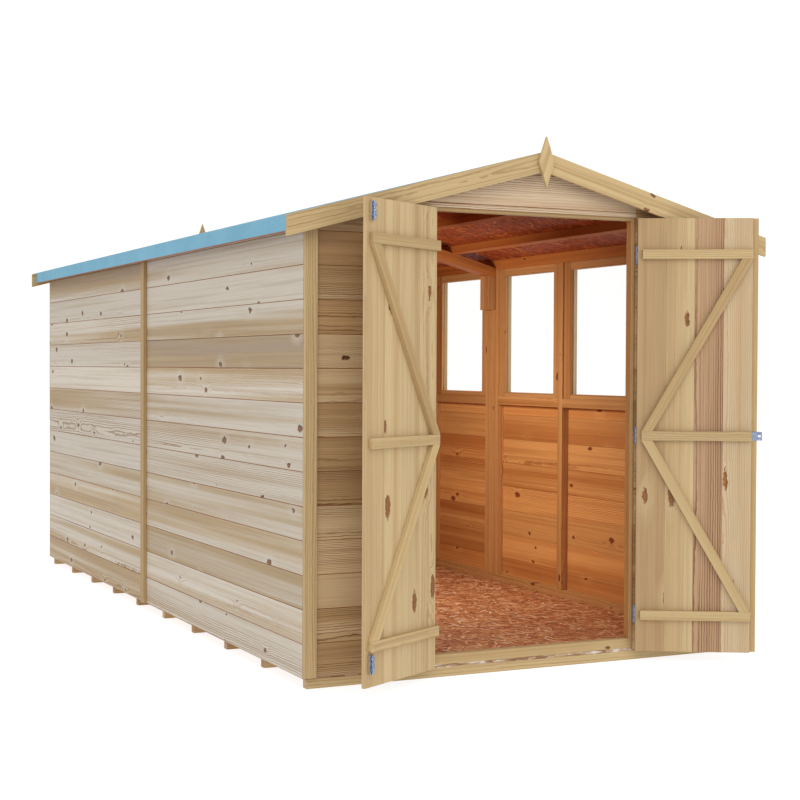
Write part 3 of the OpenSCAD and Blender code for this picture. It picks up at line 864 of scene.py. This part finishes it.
def plain_board(width: float, thick: float, edge: float) -> Piece:
    """A board one metre long along X whose long edges are chamfered."""
    board = add_box("plain board", (0.0, 0.0, 0.0), (1.0, width, thick))
    with editing(board):
        pick(board, "EDGE", lambda line: abs(line.verts[0].co.x - line.verts[1].co.x) > 0.5)
        bpy.ops.mesh.bevel(offset=edge, segments=2, affect="EDGES")
    return board


def flake(length: float, width: float, thick: float) -> Piece:
    """One flake of wood with five uneven corners, flat on Z = 0."""
    clear_selection()
    bpy.ops.mesh.primitive_circle_add(vertices=5, radius=0.5, fill_type="NGON", location=(0.0, 0.0, 0.0))
    made = bpy.context.active_object
    made.scale = (length, width, 1.0)
    bake_place()
    with editing(made):
        bpy.ops.mesh.extrude_region_move(TRANSFORM_OT_translate={"value": (0.0, 0.0, thick)})
        bpy.ops.mesh.select_all(action="SELECT")
        bpy.ops.mesh.normals_make_consistent(inside=False)
    return made


def stud_head(radius: float, height: float, sides: int = 14) -> Piece:
    """A domed nail or screw head whose flat side lies on Z = 0."""
    clear_selection()
    bpy.ops.mesh.primitive_cylinder_add(vertices=sides, radius=radius, depth=height, location=(0.0, 0.0, height / 2))
    made = bpy.context.active_object
    bake_place()
    with editing(made):
        pick(made, "EDGE", lambda line: all(v.co.z > height * 0.9 for v in line.verts))
        bpy.ops.mesh.bevel(offset=height * 0.7, segments=2, affect="EDGES")
    return made


# ---------------------------------------------------------------------------------------------------- sub-assemblies


@dataclass
class RoofPlane:
    """The sloping seats under the roof boards, read from the rear gable."""

    apex: float = field(init=False)
    slope: float = field(init=False)

    def __post_init__(self) -> None:
        """Finds the apex and the slope."""
        points = node_points("rear_cladding")
        half = float(np.abs(points[:, 0]).max())
        side = points[np.abs(points[:, 0]) > half - 1e-4]
        self.apex = float(points[:, 2].max())
        self.slope = (self.apex - float(side[:, 2].max())) / half

    def trim(self, piece: Piece) -> None:
        """Cuts a piece off along both roof slopes."""
        for sign in (-1.0, 1.0):
            cut(piece, (0.0, 0.0, self.apex), (sign * self.slope, 0.0, 1.0))


@dataclass
class BoardWalls:
    """The horizontal boards that clad the four walls."""

    roof: RoofPlane
    cover: float = 0.132
    lap: float = 0.008
    groove: float = 0.001
    seed: int = 11

    def build(self) -> None:
        """Clads each wall in its own pieces."""
        self.chance = random.Random(self.seed)
        low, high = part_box("left_cladding")
        self.base = low.z
        self.board = lap_board(self.cover, high.x - low.x, self.lap, self.groove)
        left, right = self._runs("left_cladding"), self._runs("right_cladding_low")
        self._wall("left_wall_boards", LEFTWARD, high.x, left, self.base, None, "left_cladding")
        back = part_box("right_cladding_low")[0].x
        piers = self._runs("right_cladding_piers")
        low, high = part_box("right_cladding_piers")
        self._wall("right_wall_low_boards", RIGHTWARD, back, right, self.base, low.z, "right_cladding_low")
        self._wall("right_wall_pier_boards", RIGHTWARD, back, piers, low.z, high.z, "right_cladding_piers")
        self._wall("right_wall_top_boards", RIGHTWARD, back, right, high.z, None, "right_cladding_top")
        # The front panels beside the doorway take the darker pine, partly painted shade from the open leaves; the gable
        # above takes the lighter pine.
        for side, finish in (("left", SHADE_DARKENED_PINE), ("right", SHADE_DARKENED_PINE), ("top", GABLE)):
            node = f"front_cladding_{side}"
            low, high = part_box(node)
            self._wall(f"front_wall_{side}_boards", FORWARD, high.y, [(low.x, high.x)], low.z, None, node, finish)
        low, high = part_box("rear_cladding")
        self._wall("rear_wall_boards", REARWARD, low.y, [(low.x, high.x)], self.base, None, "rear_cladding")
        discard(self.board)

    def _runs(self, node: str) -> list[tuple[float, float]]:
        """The lengthwise ends of each solid in a side wall's node."""
        return [(low.y, high.y) for low, high in solid_boxes(node)]

    def _wall(
        self, name: str, outward: Vector, back: float, spans: list[tuple[float, float]], low: float,
        high: float | None, node: str, finish: Timber = OUTDOOR,
    ) -> None:
        """Lays rows of boards over some spans, and cuts them to height.

        Args:
            name: the piece's name.
            outward: the way that the wall looks.
            back: the place of the boards' inner face along it.
            spans: the ends of each run of boards.
            low: where the boards start.
            high: where they end, or nothing where the roof ends them.
            node: the CAD node that they stand for.
            finish: the finish of their outer faces.
        """
        along = UP.cross(outward)
        turned = along.x + along.y < 0
        top = self.roof.apex if high is None else high
        spots = []
        for row in range(math.ceil((top - self.base) / self.cover)):
            bottom = self.base + row * self.cover
            if bottom + self.cover + self.lap <= low:
                continue
            for start, end in spans:
                first = end if turned else start
                spot = Vector((first, back, bottom)) if abs(outward.y) > 0.5 else Vector((back, first, bottom))
                spots.append(Spot(spot, along, UP, end - start))
        piece = copies(name, self.board, spots, self.chance)
        if low > self.base + 1e-4:
            cut(piece, (0.0, 0.0, low), (0.0, 0.0, -1.0))
        if high is None:
            self.roof.trim(piece)
        else:
            cut(piece, (0.0, 0.0, high), (0.0, 0.0, 1.0))
        sawn = (SAWN, lambda face: max(abs(face.normal.dot(UP)), abs(face.normal.dot(along))) > 0.35)
        settle(dress(piece, finish, (INDOOR, looks(-outward)), sawn), Body.SHED, Slot.BOARDS, node)


@dataclass
class Carcass:
    """Bearers, studs, rails, posts, rafters, trusses and purlins, each with eased edges."""

    edge: float = 0.0016
    seed: int = 23

    def build(self) -> None:
        """Dresses every framing node."""
        chance = random.Random(self.seed)
        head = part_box("window_glass")[1].z
        # Rail faces above the window heads take the darker roof framing pine: painted shade that deepens towards the
        # ceiling.
        painted_shade_high = (ROOF_SHADE_FRAME, lambda face: face.center.z > head)
        for node, finish, *others in (
            ("left_studs", FRAME),
            ("left_rails", FRAME, painted_shade_high),
            ("right_studs", FRAME),
            ("right_rails", FRAME, painted_shade_high),
            ("rear_posts", FRAME),
            ("rear_rails", FRAME),
            ("gable_rafters", ROOF_SHADE_FRAME),
            ("truss_rafters", ROOF_SHADE_FRAME),
            ("truss_legs", FRAME),
            ("roof_purlins", ROOF_SHADE_FRAME),
        ):
            timber(node, "timber", self.edge, chance, Body.SHED, Slot.FRAME, finish, *others)
        for node, finish, other, way in (
            # The bearers' forward faces take the lighter trim pine and their other faces the darker pine: painted shade
            # on their ends and sides.
            ("floor_bearers", SHADE_DARKENED_PINE, TRIM, FORWARD),
            ("front_posts", FRAME, TRIM, FORWARD),
            ("front_rails", TRIM, FRAME, REARWARD),
        ):
            timber(node, "timber", self.edge, chance, Body.SHED, Slot.TRIM, finish, (other, looks(way)))


@dataclass
class Trim:
    """Corner strips, joint strips, barge boards and finials, and the nails in the upright strips."""

    edge: float = 0.0022
    nail_radius: float = 0.0019
    nail_height: float = 0.0006
    nail_pitch: float = 0.3
    nail_margin: float = 0.05
    seed: int = 31

    def build(self) -> None:
        """Dresses the trim and nails it."""
        chance = random.Random(self.seed)
        for node in ("corner_strips", "joint_strips", "barge_boards", "finials"):
            timber(node, "trim", self.edge, chance, Body.SHED, Slot.TRIM, TRIM)
        middle = (CAD_LOW.y + CAD_HIGH.y) / 2
        spots = []
        for low, high in solid_boxes("corner_strips"):
            ahead = low.y < middle
            face = Vector(((low.x + high.x) / 2, low.y if ahead else high.y, 0.0))
            spots += self._nails(face, FORWARD if ahead else REARWARD, low.z, high.z)
        for low, high in solid_boxes("joint_strips"):
            right = low.x > 0
            face = Vector((high.x if right else low.x, (low.y + high.y) / 2, 0.0))
            spots += self._nails(face, RIGHTWARD if right else LEFTWARD, low.z, high.z)
        head = stud_head(self.nail_radius, self.nail_height)
        lay("trim_nails", head, spots, chance, ZINC, Body.SHED, Slot.ZINC)

    def _nails(self, face: Vector, out: Vector, low: float, high: float) -> list[Spot]:
        """Nails at even heights up the middle of a strip's face."""
        run = high - low - 2 * self.nail_margin
        count = int(run / self.nail_pitch)
        heights = [low + self.nail_margin + step * run / count for step in range(count + 1)]
        return [Spot(face + UP * height, *facing(out)) for height in heights]


@dataclass
class StrandDeck:
    """The strand-board floor and roof, with the flakes that show on their faces."""

    thick: float = 0.0005
    flakes: tuple[tuple[float, float], ...] = ((0.085, 0.015), (0.062, 0.011), (0.046, 0.008))
    flake_area: float = 0.0011
    flake_turn: float = 0.75
    flake_lift: tuple[float, float] = (-0.0003, 0.0004)
    floor_share: float = 1.5
    roof_share: float = 1.15
    roof_clearance: float = 0.00005
    ridge_gap: float = 0.01
    seed: int = 47

    def build(self) -> None:
        """Finishes the boards and lays flakes inside the bottom rails and under both slopes."""
        chance = random.Random(self.seed)
        for node, finish in (
            ("floor_boards", FLOOR_CORE), ("roof_board_left", ROOF_SHADE_CORE), ("roof_board_right", ROOF_SHADE_CORE),
        ):
            board = dress(node_copy(node, node + "_sheets"), finish, (FLOOR_EDGE, lambda f: abs(f.normal.z) < 0.5))
            settle(board, Body.SHED, Slot.STRAND, node)
        floor = Vector((0.0, 0.0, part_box("floor_boards")[1].z))
        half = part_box("right_rails")[0].x
        near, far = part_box("front_rails")[1].y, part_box("rear_rails")[0].y
        self._scatter(
            "floor_flakes", floor, RIGHTWARD, REARWARD, (-half, half), (near, far), self.floor_share, FLOOR_FLAKES,
            chance,
        )
        plane = RoofPlane()
        ridge = Vector((0.0, 0.0, plane.apex + self.roof_clearance))
        for name, sign, across, ends in (("left", -1.0, REARWARD, (near, far)), ("right", 1.0, FORWARD, (-far, -near))):
            down = Vector((sign, 0.0, -plane.slope)).normalized()
            self._scatter(
                f"roof_{name}_flakes", ridge, down, across, (self.ridge_gap, half / abs(down.x)), ends,
                self.roof_share, ROOF_SHADE_FLAKES, chance,
            )

    def _scatter(
        self, name: str, origin: Vector, first: Vector, second: Vector, first_ends: tuple[float, float],
        second_ends: tuple[float, float], share: float, finish: Strand, chance: random.Random,
    ) -> None:
        """Lays flakes over a rectangle, mostly along its second side, each at its own small height.

        Args:
            name: the piece's name.
            origin: a point on the face.
            first: one way along the face.
            second: the other way, so that first cross second points off the face.
            first_ends: the rectangle's ends along the first way.
            second_ends: its ends along the second.
            share: the flakes' area as a share of the face's.
            finish: the flakes' finish.
            chance: the source of their places.
        """
        shapes = [flake(length, width, self.thick) for length, width in self.flakes]
        area = (first_ends[1] - first_ends[0]) * (second_ends[1] - second_ends[0])
        count = int(area * share / self.flake_area / len(shapes))
        out = first.cross(second)
        pieces = []
        for shape in shapes:
            spots = []
            margin = shape.dimensions.x / 2
            for _ in range(count):
                a = chance.uniform(first_ends[0] + margin, first_ends[1] - margin)
                b = chance.uniform(second_ends[0] + margin, second_ends[1] - margin)
                turn = chance.gauss(math.pi / 2, self.flake_turn)
                along = first * math.cos(turn) + second * math.sin(turn)
                spot = origin + first * a + second * b + out * chance.uniform(*self.flake_lift)
                spots.append(Spot(spot, along, out.cross(along), 1.0, chance.random() ** 1.3))
            pieces.append(copies(name, shape, spots, chance))
            discard(shape)
        joined = join(pieces)
        joined.name = name
        settle(dress(joined, finish), Body.SHED, Slot.STRAND)


@dataclass
class RoofCovering:
    """The membrane over both slopes, folded down the eaves."""

    fold: float = 0.004

    def build(self) -> None:
        """Rounds the membrane's folds."""
        piece = node_copy("roof_felt", "roof_membrane_sheet")
        low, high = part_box("roof_felt")

        def long_way(line: bmesh.types.BMEdge) -> bool:
            return abs(line.verts[0].co.y - line.verts[1].co.y) > 1.0

        def ridge(line: bmesh.types.BMEdge) -> bool:
            return long_way(line) and all(v.co.z > high.z - 0.01 for v in line.verts)

        def eave(line: bmesh.types.BMEdge) -> bool:
            outer = all(abs(abs(v.co.x) - high.x) < 1e-4 for v in line.verts)
            return long_way(line) and outer and line.verts[0].co.z > low.z + 0.02

        with editing(piece):
            for fold in (ridge, eave):
                pick(piece, "EDGE", fold)
                bpy.ops.mesh.bevel(offset=self.fold, segments=3, affect="EDGES")
        smooth(piece, 35)
        settle(dress(piece, Membrane()), Body.SHED, Slot.ROOF, "roof_felt")


@dataclass
class Windows:
    """The casements, their panes and the beads that hold them."""

    bead: float = 0.006
    inner_bead_back: float = 0.002
    outer_bead_back: float = 0.004
    sill_out: float = 0.022
    sill_h: float = 0.02
    sill_horn: float = 0.02
    sill_edge: float = 0.003
    edge: float = 0.0014
    seed: int = 59

    def build(self) -> None:
        """Dresses the casements and fits beads round each pane, inside and out."""
        chance = random.Random(self.seed)
        for node in ("window_stiles", "window_rails"):
            timber(node, "timber", self.edge, chance, Body.SHED, Slot.FRAME, FRAME)
        glass = node_copy("window_glass", "window_panes")
        soften(glass, 0.0003, 1)
        settle(dress(glass, ClearGlass()), Body.SHED, Slot.GLASS, "window_glass")
        inner_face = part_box("window_stiles")[0].x
        outer_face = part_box("right_cladding_low")[1].x
        panes = solid_boxes("window_glass")
        for side, first, last, finish, slot in (
            ("inner", inner_face + self.inner_bead_back, panes[0][0].x, FRAME, Slot.FRAME),
            ("outer", panes[0][1].x, outer_face - self.outer_bead_back, TRIM, Slot.TRIM),
        ):
            board = plain_board(self.bead, last - first, self.bead * 0.25)
            spots = [spot for pane in panes for spot in self._round(pane, first)]
            lay(f"window_{side}_beads", board, spots, chance, finish, Body.SHED, slot)
        sills = [
            Spot(Vector((outer_face, low.y - self.sill_horn, low.z - self.sill_h)), REARWARD, UP,
                 high.y - low.y + 2 * self.sill_horn)
            for low, high in panes
        ]
        sill = plain_board(self.sill_h, self.sill_out, self.sill_edge)
        lay("window_sills", sill, sills, chance, TRIM, Body.SHED, Slot.TRIM)

    def _round(self, pane: tuple[Vector, Vector], first: float) -> list[Spot]:
        """The four beads round one pane, from a place along X outwards."""
        low, high = pane
        width, height = high.y - low.y, high.z - low.z
        return [
            Spot(Vector((first, low.y, low.z)), REARWARD, UP, width),
            Spot(Vector((first, high.y, low.z)), UP, FORWARD, height),
            Spot(Vector((first, high.y, high.z)), FORWARD, -UP, width),
            Spot(Vector((first, low.y, high.z)), -UP, REARWARD, height),
        ]


@dataclass
class Leaf:
    """One door leaf: its upright boards, ledges, braces and ironwork."""

    side: str
    body: Body
    tones: tuple[float, ...]
    seed: int
    finishes: tuple[Timber, ...] = (DOOR, DOOR, DOOR, DOOR)
    edge: float = 0.0014
    strap_t: float = 0.003
    strap_edge: float = 0.0004
    screw_radius: float = 0.0034
    screw_height: float = 0.0016
    screw_places: tuple[tuple[float, float], ...] = (
        (0.03, 0.008), (0.03, -0.008), (0.08, 0.0), (0.14, 0.0), (0.205, 0.0),
    )
    nail_radius: float = 0.0018
    nail_height: float = 0.0006
    nail_places: tuple[tuple[float, float], ...] = ((0.3, 0.008), (0.7, -0.008))
    nail_margin: float = 0.03

    def __post_init__(self) -> None:
        """Finds the leaf's own directions from its boards, its ledges and its hinge."""
        points = node_points(f"{self.side}_door_boards")
        joint = next(joint for joint in frame["joints"] if joint["child"] == self.body.value)
        self.pin = Vector(joint["pos_m"])
        floor = points[points[:, 2] < points[:, 2].min() + 1e-4][:, :2]
        runs = [second - first for first in floor for second in floor]
        _, width, *_ = sorted({round(float(np.linalg.norm(run)), 5) for run in runs} - {0.0})
        side_run = next(run for run in runs if abs(float(np.linalg.norm(run)) - width) < 2 * NEAR)
        middle = Vector(points.mean(0))
        self.across = Vector((*side_run, 0.0)).normalized()
        if (middle - self.pin).dot(self.across) < 0:
            self.across.negate()
        self.inward = UP.cross(self.across)
        if (Vector(node_points(f"{self.side}_door_ledges").mean(0)) - middle).dot(self.inward) < 0:
            self.inward.negate()
        reach, depth, height = self.spread("boards")
        self.ends = (float(reach.min()), float(reach.max()))
        self.faces = (float(depth.min()), float(depth.max()))
        self.heights = (float(height.min()), float(height.max()))

    def spread(self, part: str) -> tuple[np.ndarray, np.ndarray, np.ndarray]:
        """How far the points of one of the leaf's nodes lie out from the pin, and inward of it, and their heights."""
        points = node_points(f"{self.side}_door_{part}")
        offset = points - np.array(self.pin)
        return offset @ np.array(self.across), offset @ np.array(self.inward), points[:, 2]

    def at(self, reach: float, depth: float, height: float) -> Vector:
        """A point on the leaf: out from the pin, towards its inner side, and up."""
        spot = self.pin + self.across * reach + self.inward * depth
        spot.z = height
        return spot

    def build(self) -> None:
        """Makes the leaf's pieces."""
        self.chance = random.Random(self.seed)
        self._boards()
        for part in ("ledges", "braces"):
            timber(f"{self.side}_door_{part}", "timber", self.edge, self.chance, self.body, Slot.DOOR, TRIM)
        for node, body in ((f"{self.side}_door_hinges", self.body), (f"{self.side}_jamb_hinges", Body.SHED)):
            piece = node_copy(node, node + "_plated")
            soften(piece, self.strap_edge, 1)
            smooth(piece, 30)
            settle(dress(piece, ZINC), body, Slot.ZINC, node)
        self._fixings()

    def _boards(self) -> None:
        """Upright boards with a shallow V where two of them meet."""
        count = len(self.tones)
        width = (self.ends[1] - self.ends[0]) / count
        board = plain_board(width, self.faces[1] - self.faces[0], self.edge)
        flip = UP.cross(self.across).dot(self.inward) > 0
        start = self.faces[0] if flip else self.faces[1]
        low, high = self.heights
        spots = [
            Spot(self.at(self.ends[0] + number * width, start, low), UP, self.across, high - low, tone)
            for number, tone in enumerate(self.tones)
        ]
        piece = copies(f"{self.side}_door_planks", board, spots, self.chance)
        discard(board)
        for finish in self.finishes:
            piece.data.materials.append(FINISHES.of(finish))
        each = len(piece.data.polygons) // count
        for face in piece.data.polygons:
            face.material_index = face.index // each
        settle(piece, self.body, Slot.DOOR, f"{self.side}_door_boards")

    def _fixings(self) -> None:
        """Nail heads where the ledges cross the boards, and screws in the straps."""
        width = (self.ends[1] - self.ends[0]) / len(self.tones)
        ledge_face = float(self.spread("ledges")[1].max())
        strap_face = float(self.spread("hinges")[1].max()) - self.strap_t
        nails, screws = [], []
        for low, high in sorted(solid_boxes(f"{self.side}_door_ledges"), key=lambda box: box[0].z):
            height = (low.z + high.z) / 2
            for number in range(len(self.tones)):
                for offset, lift in self.nail_places:
                    reach = self.ends[0] + (number + offset) * width
                    if self.ends[0] + self.nail_margin < reach < self.ends[1] - self.nail_margin:
                        nails.append(Spot(self.at(reach, ledge_face, height + lift), *facing(self.inward)))
            for reach, lift in self.screw_places:
                screws.append(Spot(self.at(reach, strap_face, height + lift), *facing(-self.inward)))
        for name, radius, tall, spots in (
            ("nails", self.nail_radius, self.nail_height, nails),
            ("screws", self.screw_radius, self.screw_height, screws),
        ):
            head = stud_head(radius, tall)
            lay(f"{self.side}_door_{name}", head, spots, self.chance, ZINC, self.body, Slot.ZINC)


@dataclass
class Bolts:
    """Two barrel bolts on wooden blocks, near the left leaf's free edge."""

    leaf: Leaf
    block_t: float = 0.008
    block_edge: float = 0.001
    plate_t: float = 0.002
    plate_edge: float = 0.0006
    barrel_r: float = 0.005
    knob_r: float = 0.0032
    knob_share: float = 0.42
    band_w: float = 0.009
    band_shares: tuple[float, float] = (0.18, 0.74)
    side_share: float = 0.36
    screw: tuple[float, float, int] = (0.0026, 0.0014, 12)
    screw_share: float = 0.06
    seed: int = 83

    def build(self) -> None:
        """Makes the blocks, and on each a plate, a barrel with two bands, a knob and four screws."""
        chance = random.Random(self.seed)
        reach, depth, heights = self.leaf.spread("bolts")
        lower = heights < sum(self.leaf.heights) / 2
        spans = [(float(heights[half].min()), float(heights[half].max())) for half in (lower, ~lower)]
        width = float(reach.max()) - float(reach.min())
        middle = (float(reach.min()) + float(reach.max())) / 2
        back = self.leaf.faces[1]
        along, _ = facing(self.leaf.inward)
        blocks = [
            Spot(self.leaf.at(middle, back, low) + along * width / 2, UP, -along, high - low) for low, high in spans
        ]
        block = plain_board(width, self.block_t, self.block_edge)
        lay("left_door_bolt_blocks", block, blocks, chance, TRIM, Body.LEFT_DOOR, Slot.DOOR)
        iron = self._iron(spans[0][1] - spans[0][0], width, float(depth.max()) - back - self.block_t)
        spots = [Spot(self.leaf.at(middle, back + self.block_t, low), UP, -along) for low, _ in spans]
        piece = copies("left_door_bolt_iron", iron, spots, chance)
        discard(iron)
        smooth(piece, 30)
        settle(dress(piece, ZINC), Body.LEFT_DOOR, Slot.ZINC, "left_door_bolts")

    def _iron(self, length: float, width: float, knob: float) -> Piece:
        """One bolt that runs up X from 0, centred on Y, on Z = 0.

        Args:
            length: the plate's length.
            width: its width.
            knob: how far the knob's tip stands off the block.

        Returns:
            The bolt's ironwork as one template.
        """
        side = width * self.side_share
        centre = self.plate_t + self.barrel_r
        plate = add_box("bolt plate", (0.0, -width / 2, 0.0), (length, width / 2, self.plate_t))
        soften(plate, self.plate_edge, 1)
        parts = [plate]
        for sides, radius, depth, place, turn in (
            (20, self.barrel_r, length, (length / 2, 0.0, centre), (0.0, math.pi / 2, 0.0)),
            (16, self.knob_r, knob - centre, (length * self.knob_share, 0.0, (knob + centre) / 2), (0.0, 0.0, 0.0)),
        ):
            clear_selection()
            bpy.ops.mesh.primitive_cylinder_add(
                vertices=sides, radius=radius, depth=depth, location=place, rotation=turn
            )
            parts.append(bpy.context.active_object)
        for share in self.band_shares:
            low = (length * share, -side, self.plate_t - 0.0005)
            band = add_box("bolt band", low, (length * share + self.band_w, side, centre + self.barrel_r + 0.001))
            soften(band, 0.003, 3)
            parts.append(band)
        for x in (self.screw_share, 1.0 - self.screw_share):
            for y in (-side, side):
                screw = stud_head(*self.screw)
                screw.location = (length * x, y, self.plate_t)
                parts.append(screw)
        return join(parts)


@dataclass
class CoverStrip:
    """The strip and the lock plate on the right leaf's outer face, and the keep on the strip's inner one."""

    leaf: Leaf
    edge: float = 0.002
    plate_edge: float = 0.0008
    keep_t: float = 0.002
    keep_gap: float = 0.0005
    seed: int = 97

    def build(self) -> None:
        """Dresses the strip and the plate, and adds the keep beyond the leaf's free edge."""
        chance = random.Random(self.seed)
        strip, plate = "right_door_cover_strip", "right_door_lock_plate"
        timber(strip, "timber", self.edge, chance, Body.RIGHT_DOOR, Slot.DOOR, TRIM)
        piece = node_copy(plate, plate + "_plated")
        soften(piece, self.plate_edge, 2)
        settle(dress(piece, ZINC), Body.RIGHT_DOOR, Slot.ZINC, plate)
        low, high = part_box(plate)
        reach, depth, _ = self.leaf.spread("cover_strip")
        lap = sorted({round(float(place), 5) for place in depth})[1]
        start, end = self.leaf.ends[1] + self.keep_gap, float(reach.max()) - self.keep_gap
        across = -facing(self.leaf.inward)[0]
        corner = self.leaf.at(start if across.dot(self.leaf.across) > 0 else end, lap, low.z)
        keep = plain_board(end - start, self.keep_t, self.keep_t * 0.3)
        spots = [Spot(corner, UP, across, high.z - low.z)]
        lay("right_door_keep", keep, spots, chance, ZINC, Body.RIGHT_DOOR, Slot.ZINC)


@dataclass
class Studio:
    """The floor, the lights and the camera."""

    position: Vector = field(default_factory=lambda: Vector((-3.2518, -5.5342, 1.2407)))
    yaw: float = 25.637
    pitch: float = 1.228
    roll: float = 0.253
    lens: float = 70.0
    floor_glow: float = 0.82
    sky_glow: float = 1.08

    def build(self) -> None:
        """Sets the stage."""
        self._floor()
        self._sky()
        self._lamp("key", (-4.5, -6.5, 6.0), (0.0, 1.0, 0.9), 5.0, 150.0, (1.0, 0.985, 0.96))
        self._lamp("front", (2.5, -7.5, 3.0), (0.4, 0.0, 1.0), 4.0, 60.0, (1.0, 0.97, 0.93))
        self._lamp("inside", (-0.3, 1.4, 1.45), (0.75, 2.3, 0.2), 0.5, 20.0, (1.0, 0.93, 0.82))
        self._camera()

    def _floor(self) -> None:
        """A wide pale floor under the bearers."""
        clear_selection()
        bpy.ops.mesh.primitive_plane_add(size=60.0, location=(0.0, 0.0, CAD_LOW.z - 0.0005))
        floor = bpy.context.active_object
        floor.name = "studio_floor"
        desk = Desk("studio floor")
        dust = desk.noise(desk.place(), 3.0, 2.0)
        floor.data.materials.append(
            desk.set(
                Base_Color=(0.3, 0.3, 0.3, 1.0), Roughness=desk.span(dust, 0.3, 0.7, 0.8, 0.9),
                Emission_Color=(1.0, 1.0, 1.0, 1.0), Emission_Strength=self.floor_glow,
            )
        )

    def _sky(self) -> None:
        """An even white surround."""
        world = bpy.data.worlds.new("studio surround")
        world.use_nodes = True
        world.node_tree.nodes["Background"].inputs["Color"].default_value = (1.0, 1.0, 1.0, 1.0)
        world.node_tree.nodes["Background"].inputs["Strength"].default_value = self.sky_glow
        bpy.context.scene.world = world
        bpy.context.scene.view_settings.view_transform = "Standard"

    def _lamp(
        self, name: str, place: Sequence[float], target: Sequence[float], size: float, power: float,
        tint: tuple[float, float, float],
    ) -> None:
        """A square soft lamp aimed at a point."""
        lamp = bpy.data.lights.new(name, "AREA")
        lamp.size, lamp.energy, lamp.color = size, power, tint
        holder = bpy.data.objects.new(name, lamp)
        bpy.context.scene.collection.objects.link(holder)
        holder.location = place
        holder.rotation_mode = "QUATERNION"
        holder.rotation_quaternion = (Vector(target) - Vector(place)).to_track_quat("-Z", "Y")
        holder.visible_camera = False

    def _camera(self) -> None:
        """The camera, level but for a small pitch and roll."""
        yaw, pitch, roll = (math.radians(angle) for angle in (self.yaw, self.pitch, self.roll))
        ahead = Vector((math.sin(yaw) * math.cos(pitch), math.cos(yaw) * math.cos(pitch), -math.sin(pitch)))
        right = Vector((math.cos(yaw), -math.sin(yaw), 0.0))
        up = right.cross(ahead)
        right, up = right * math.cos(roll) + up * math.sin(roll), up * math.cos(roll) - right * math.sin(roll)
        lens = bpy.data.cameras.new("camera")
        lens.lens, lens.sensor_width = self.lens, 36.0
        lens.clip_start, lens.clip_end = 0.05, 200.0
        camera = bpy.data.objects.new("camera", lens)
        bpy.context.scene.collection.objects.link(camera)
        turn = Matrix((right, up, -ahead)).transposed().to_4x4()
        camera.matrix_world = Matrix.Translation(self.position) @ turn
        bpy.context.scene.camera = camera


def main() -> None:
    """Builds the shed's looks and the studio, in order."""
    logging.basicConfig(level=logging.INFO, format="%(name)s %(message)s")
    clear_selection()
    BoardWalls(RoofPlane()).build()
    Carcass().build()
    Trim().build()
    StrandDeck().build()
    RoofCovering().build()
    Windows().build()
    left = Leaf("left", Body.LEFT_DOOR, (0.5, 0.35, 0.7, 0.55), 61)
    left.build()
    Bolts(left).build()
    right = Leaf("right", Body.RIGHT_DOOR, (0.65, 0.5, 0.15, 0.8), 71, (DOOR, DOOR, FIGURED, RESIN))
    right.build()
    CoverStrip(right).build()
    Studio().build()


if __name__ == "__main__":
    main()
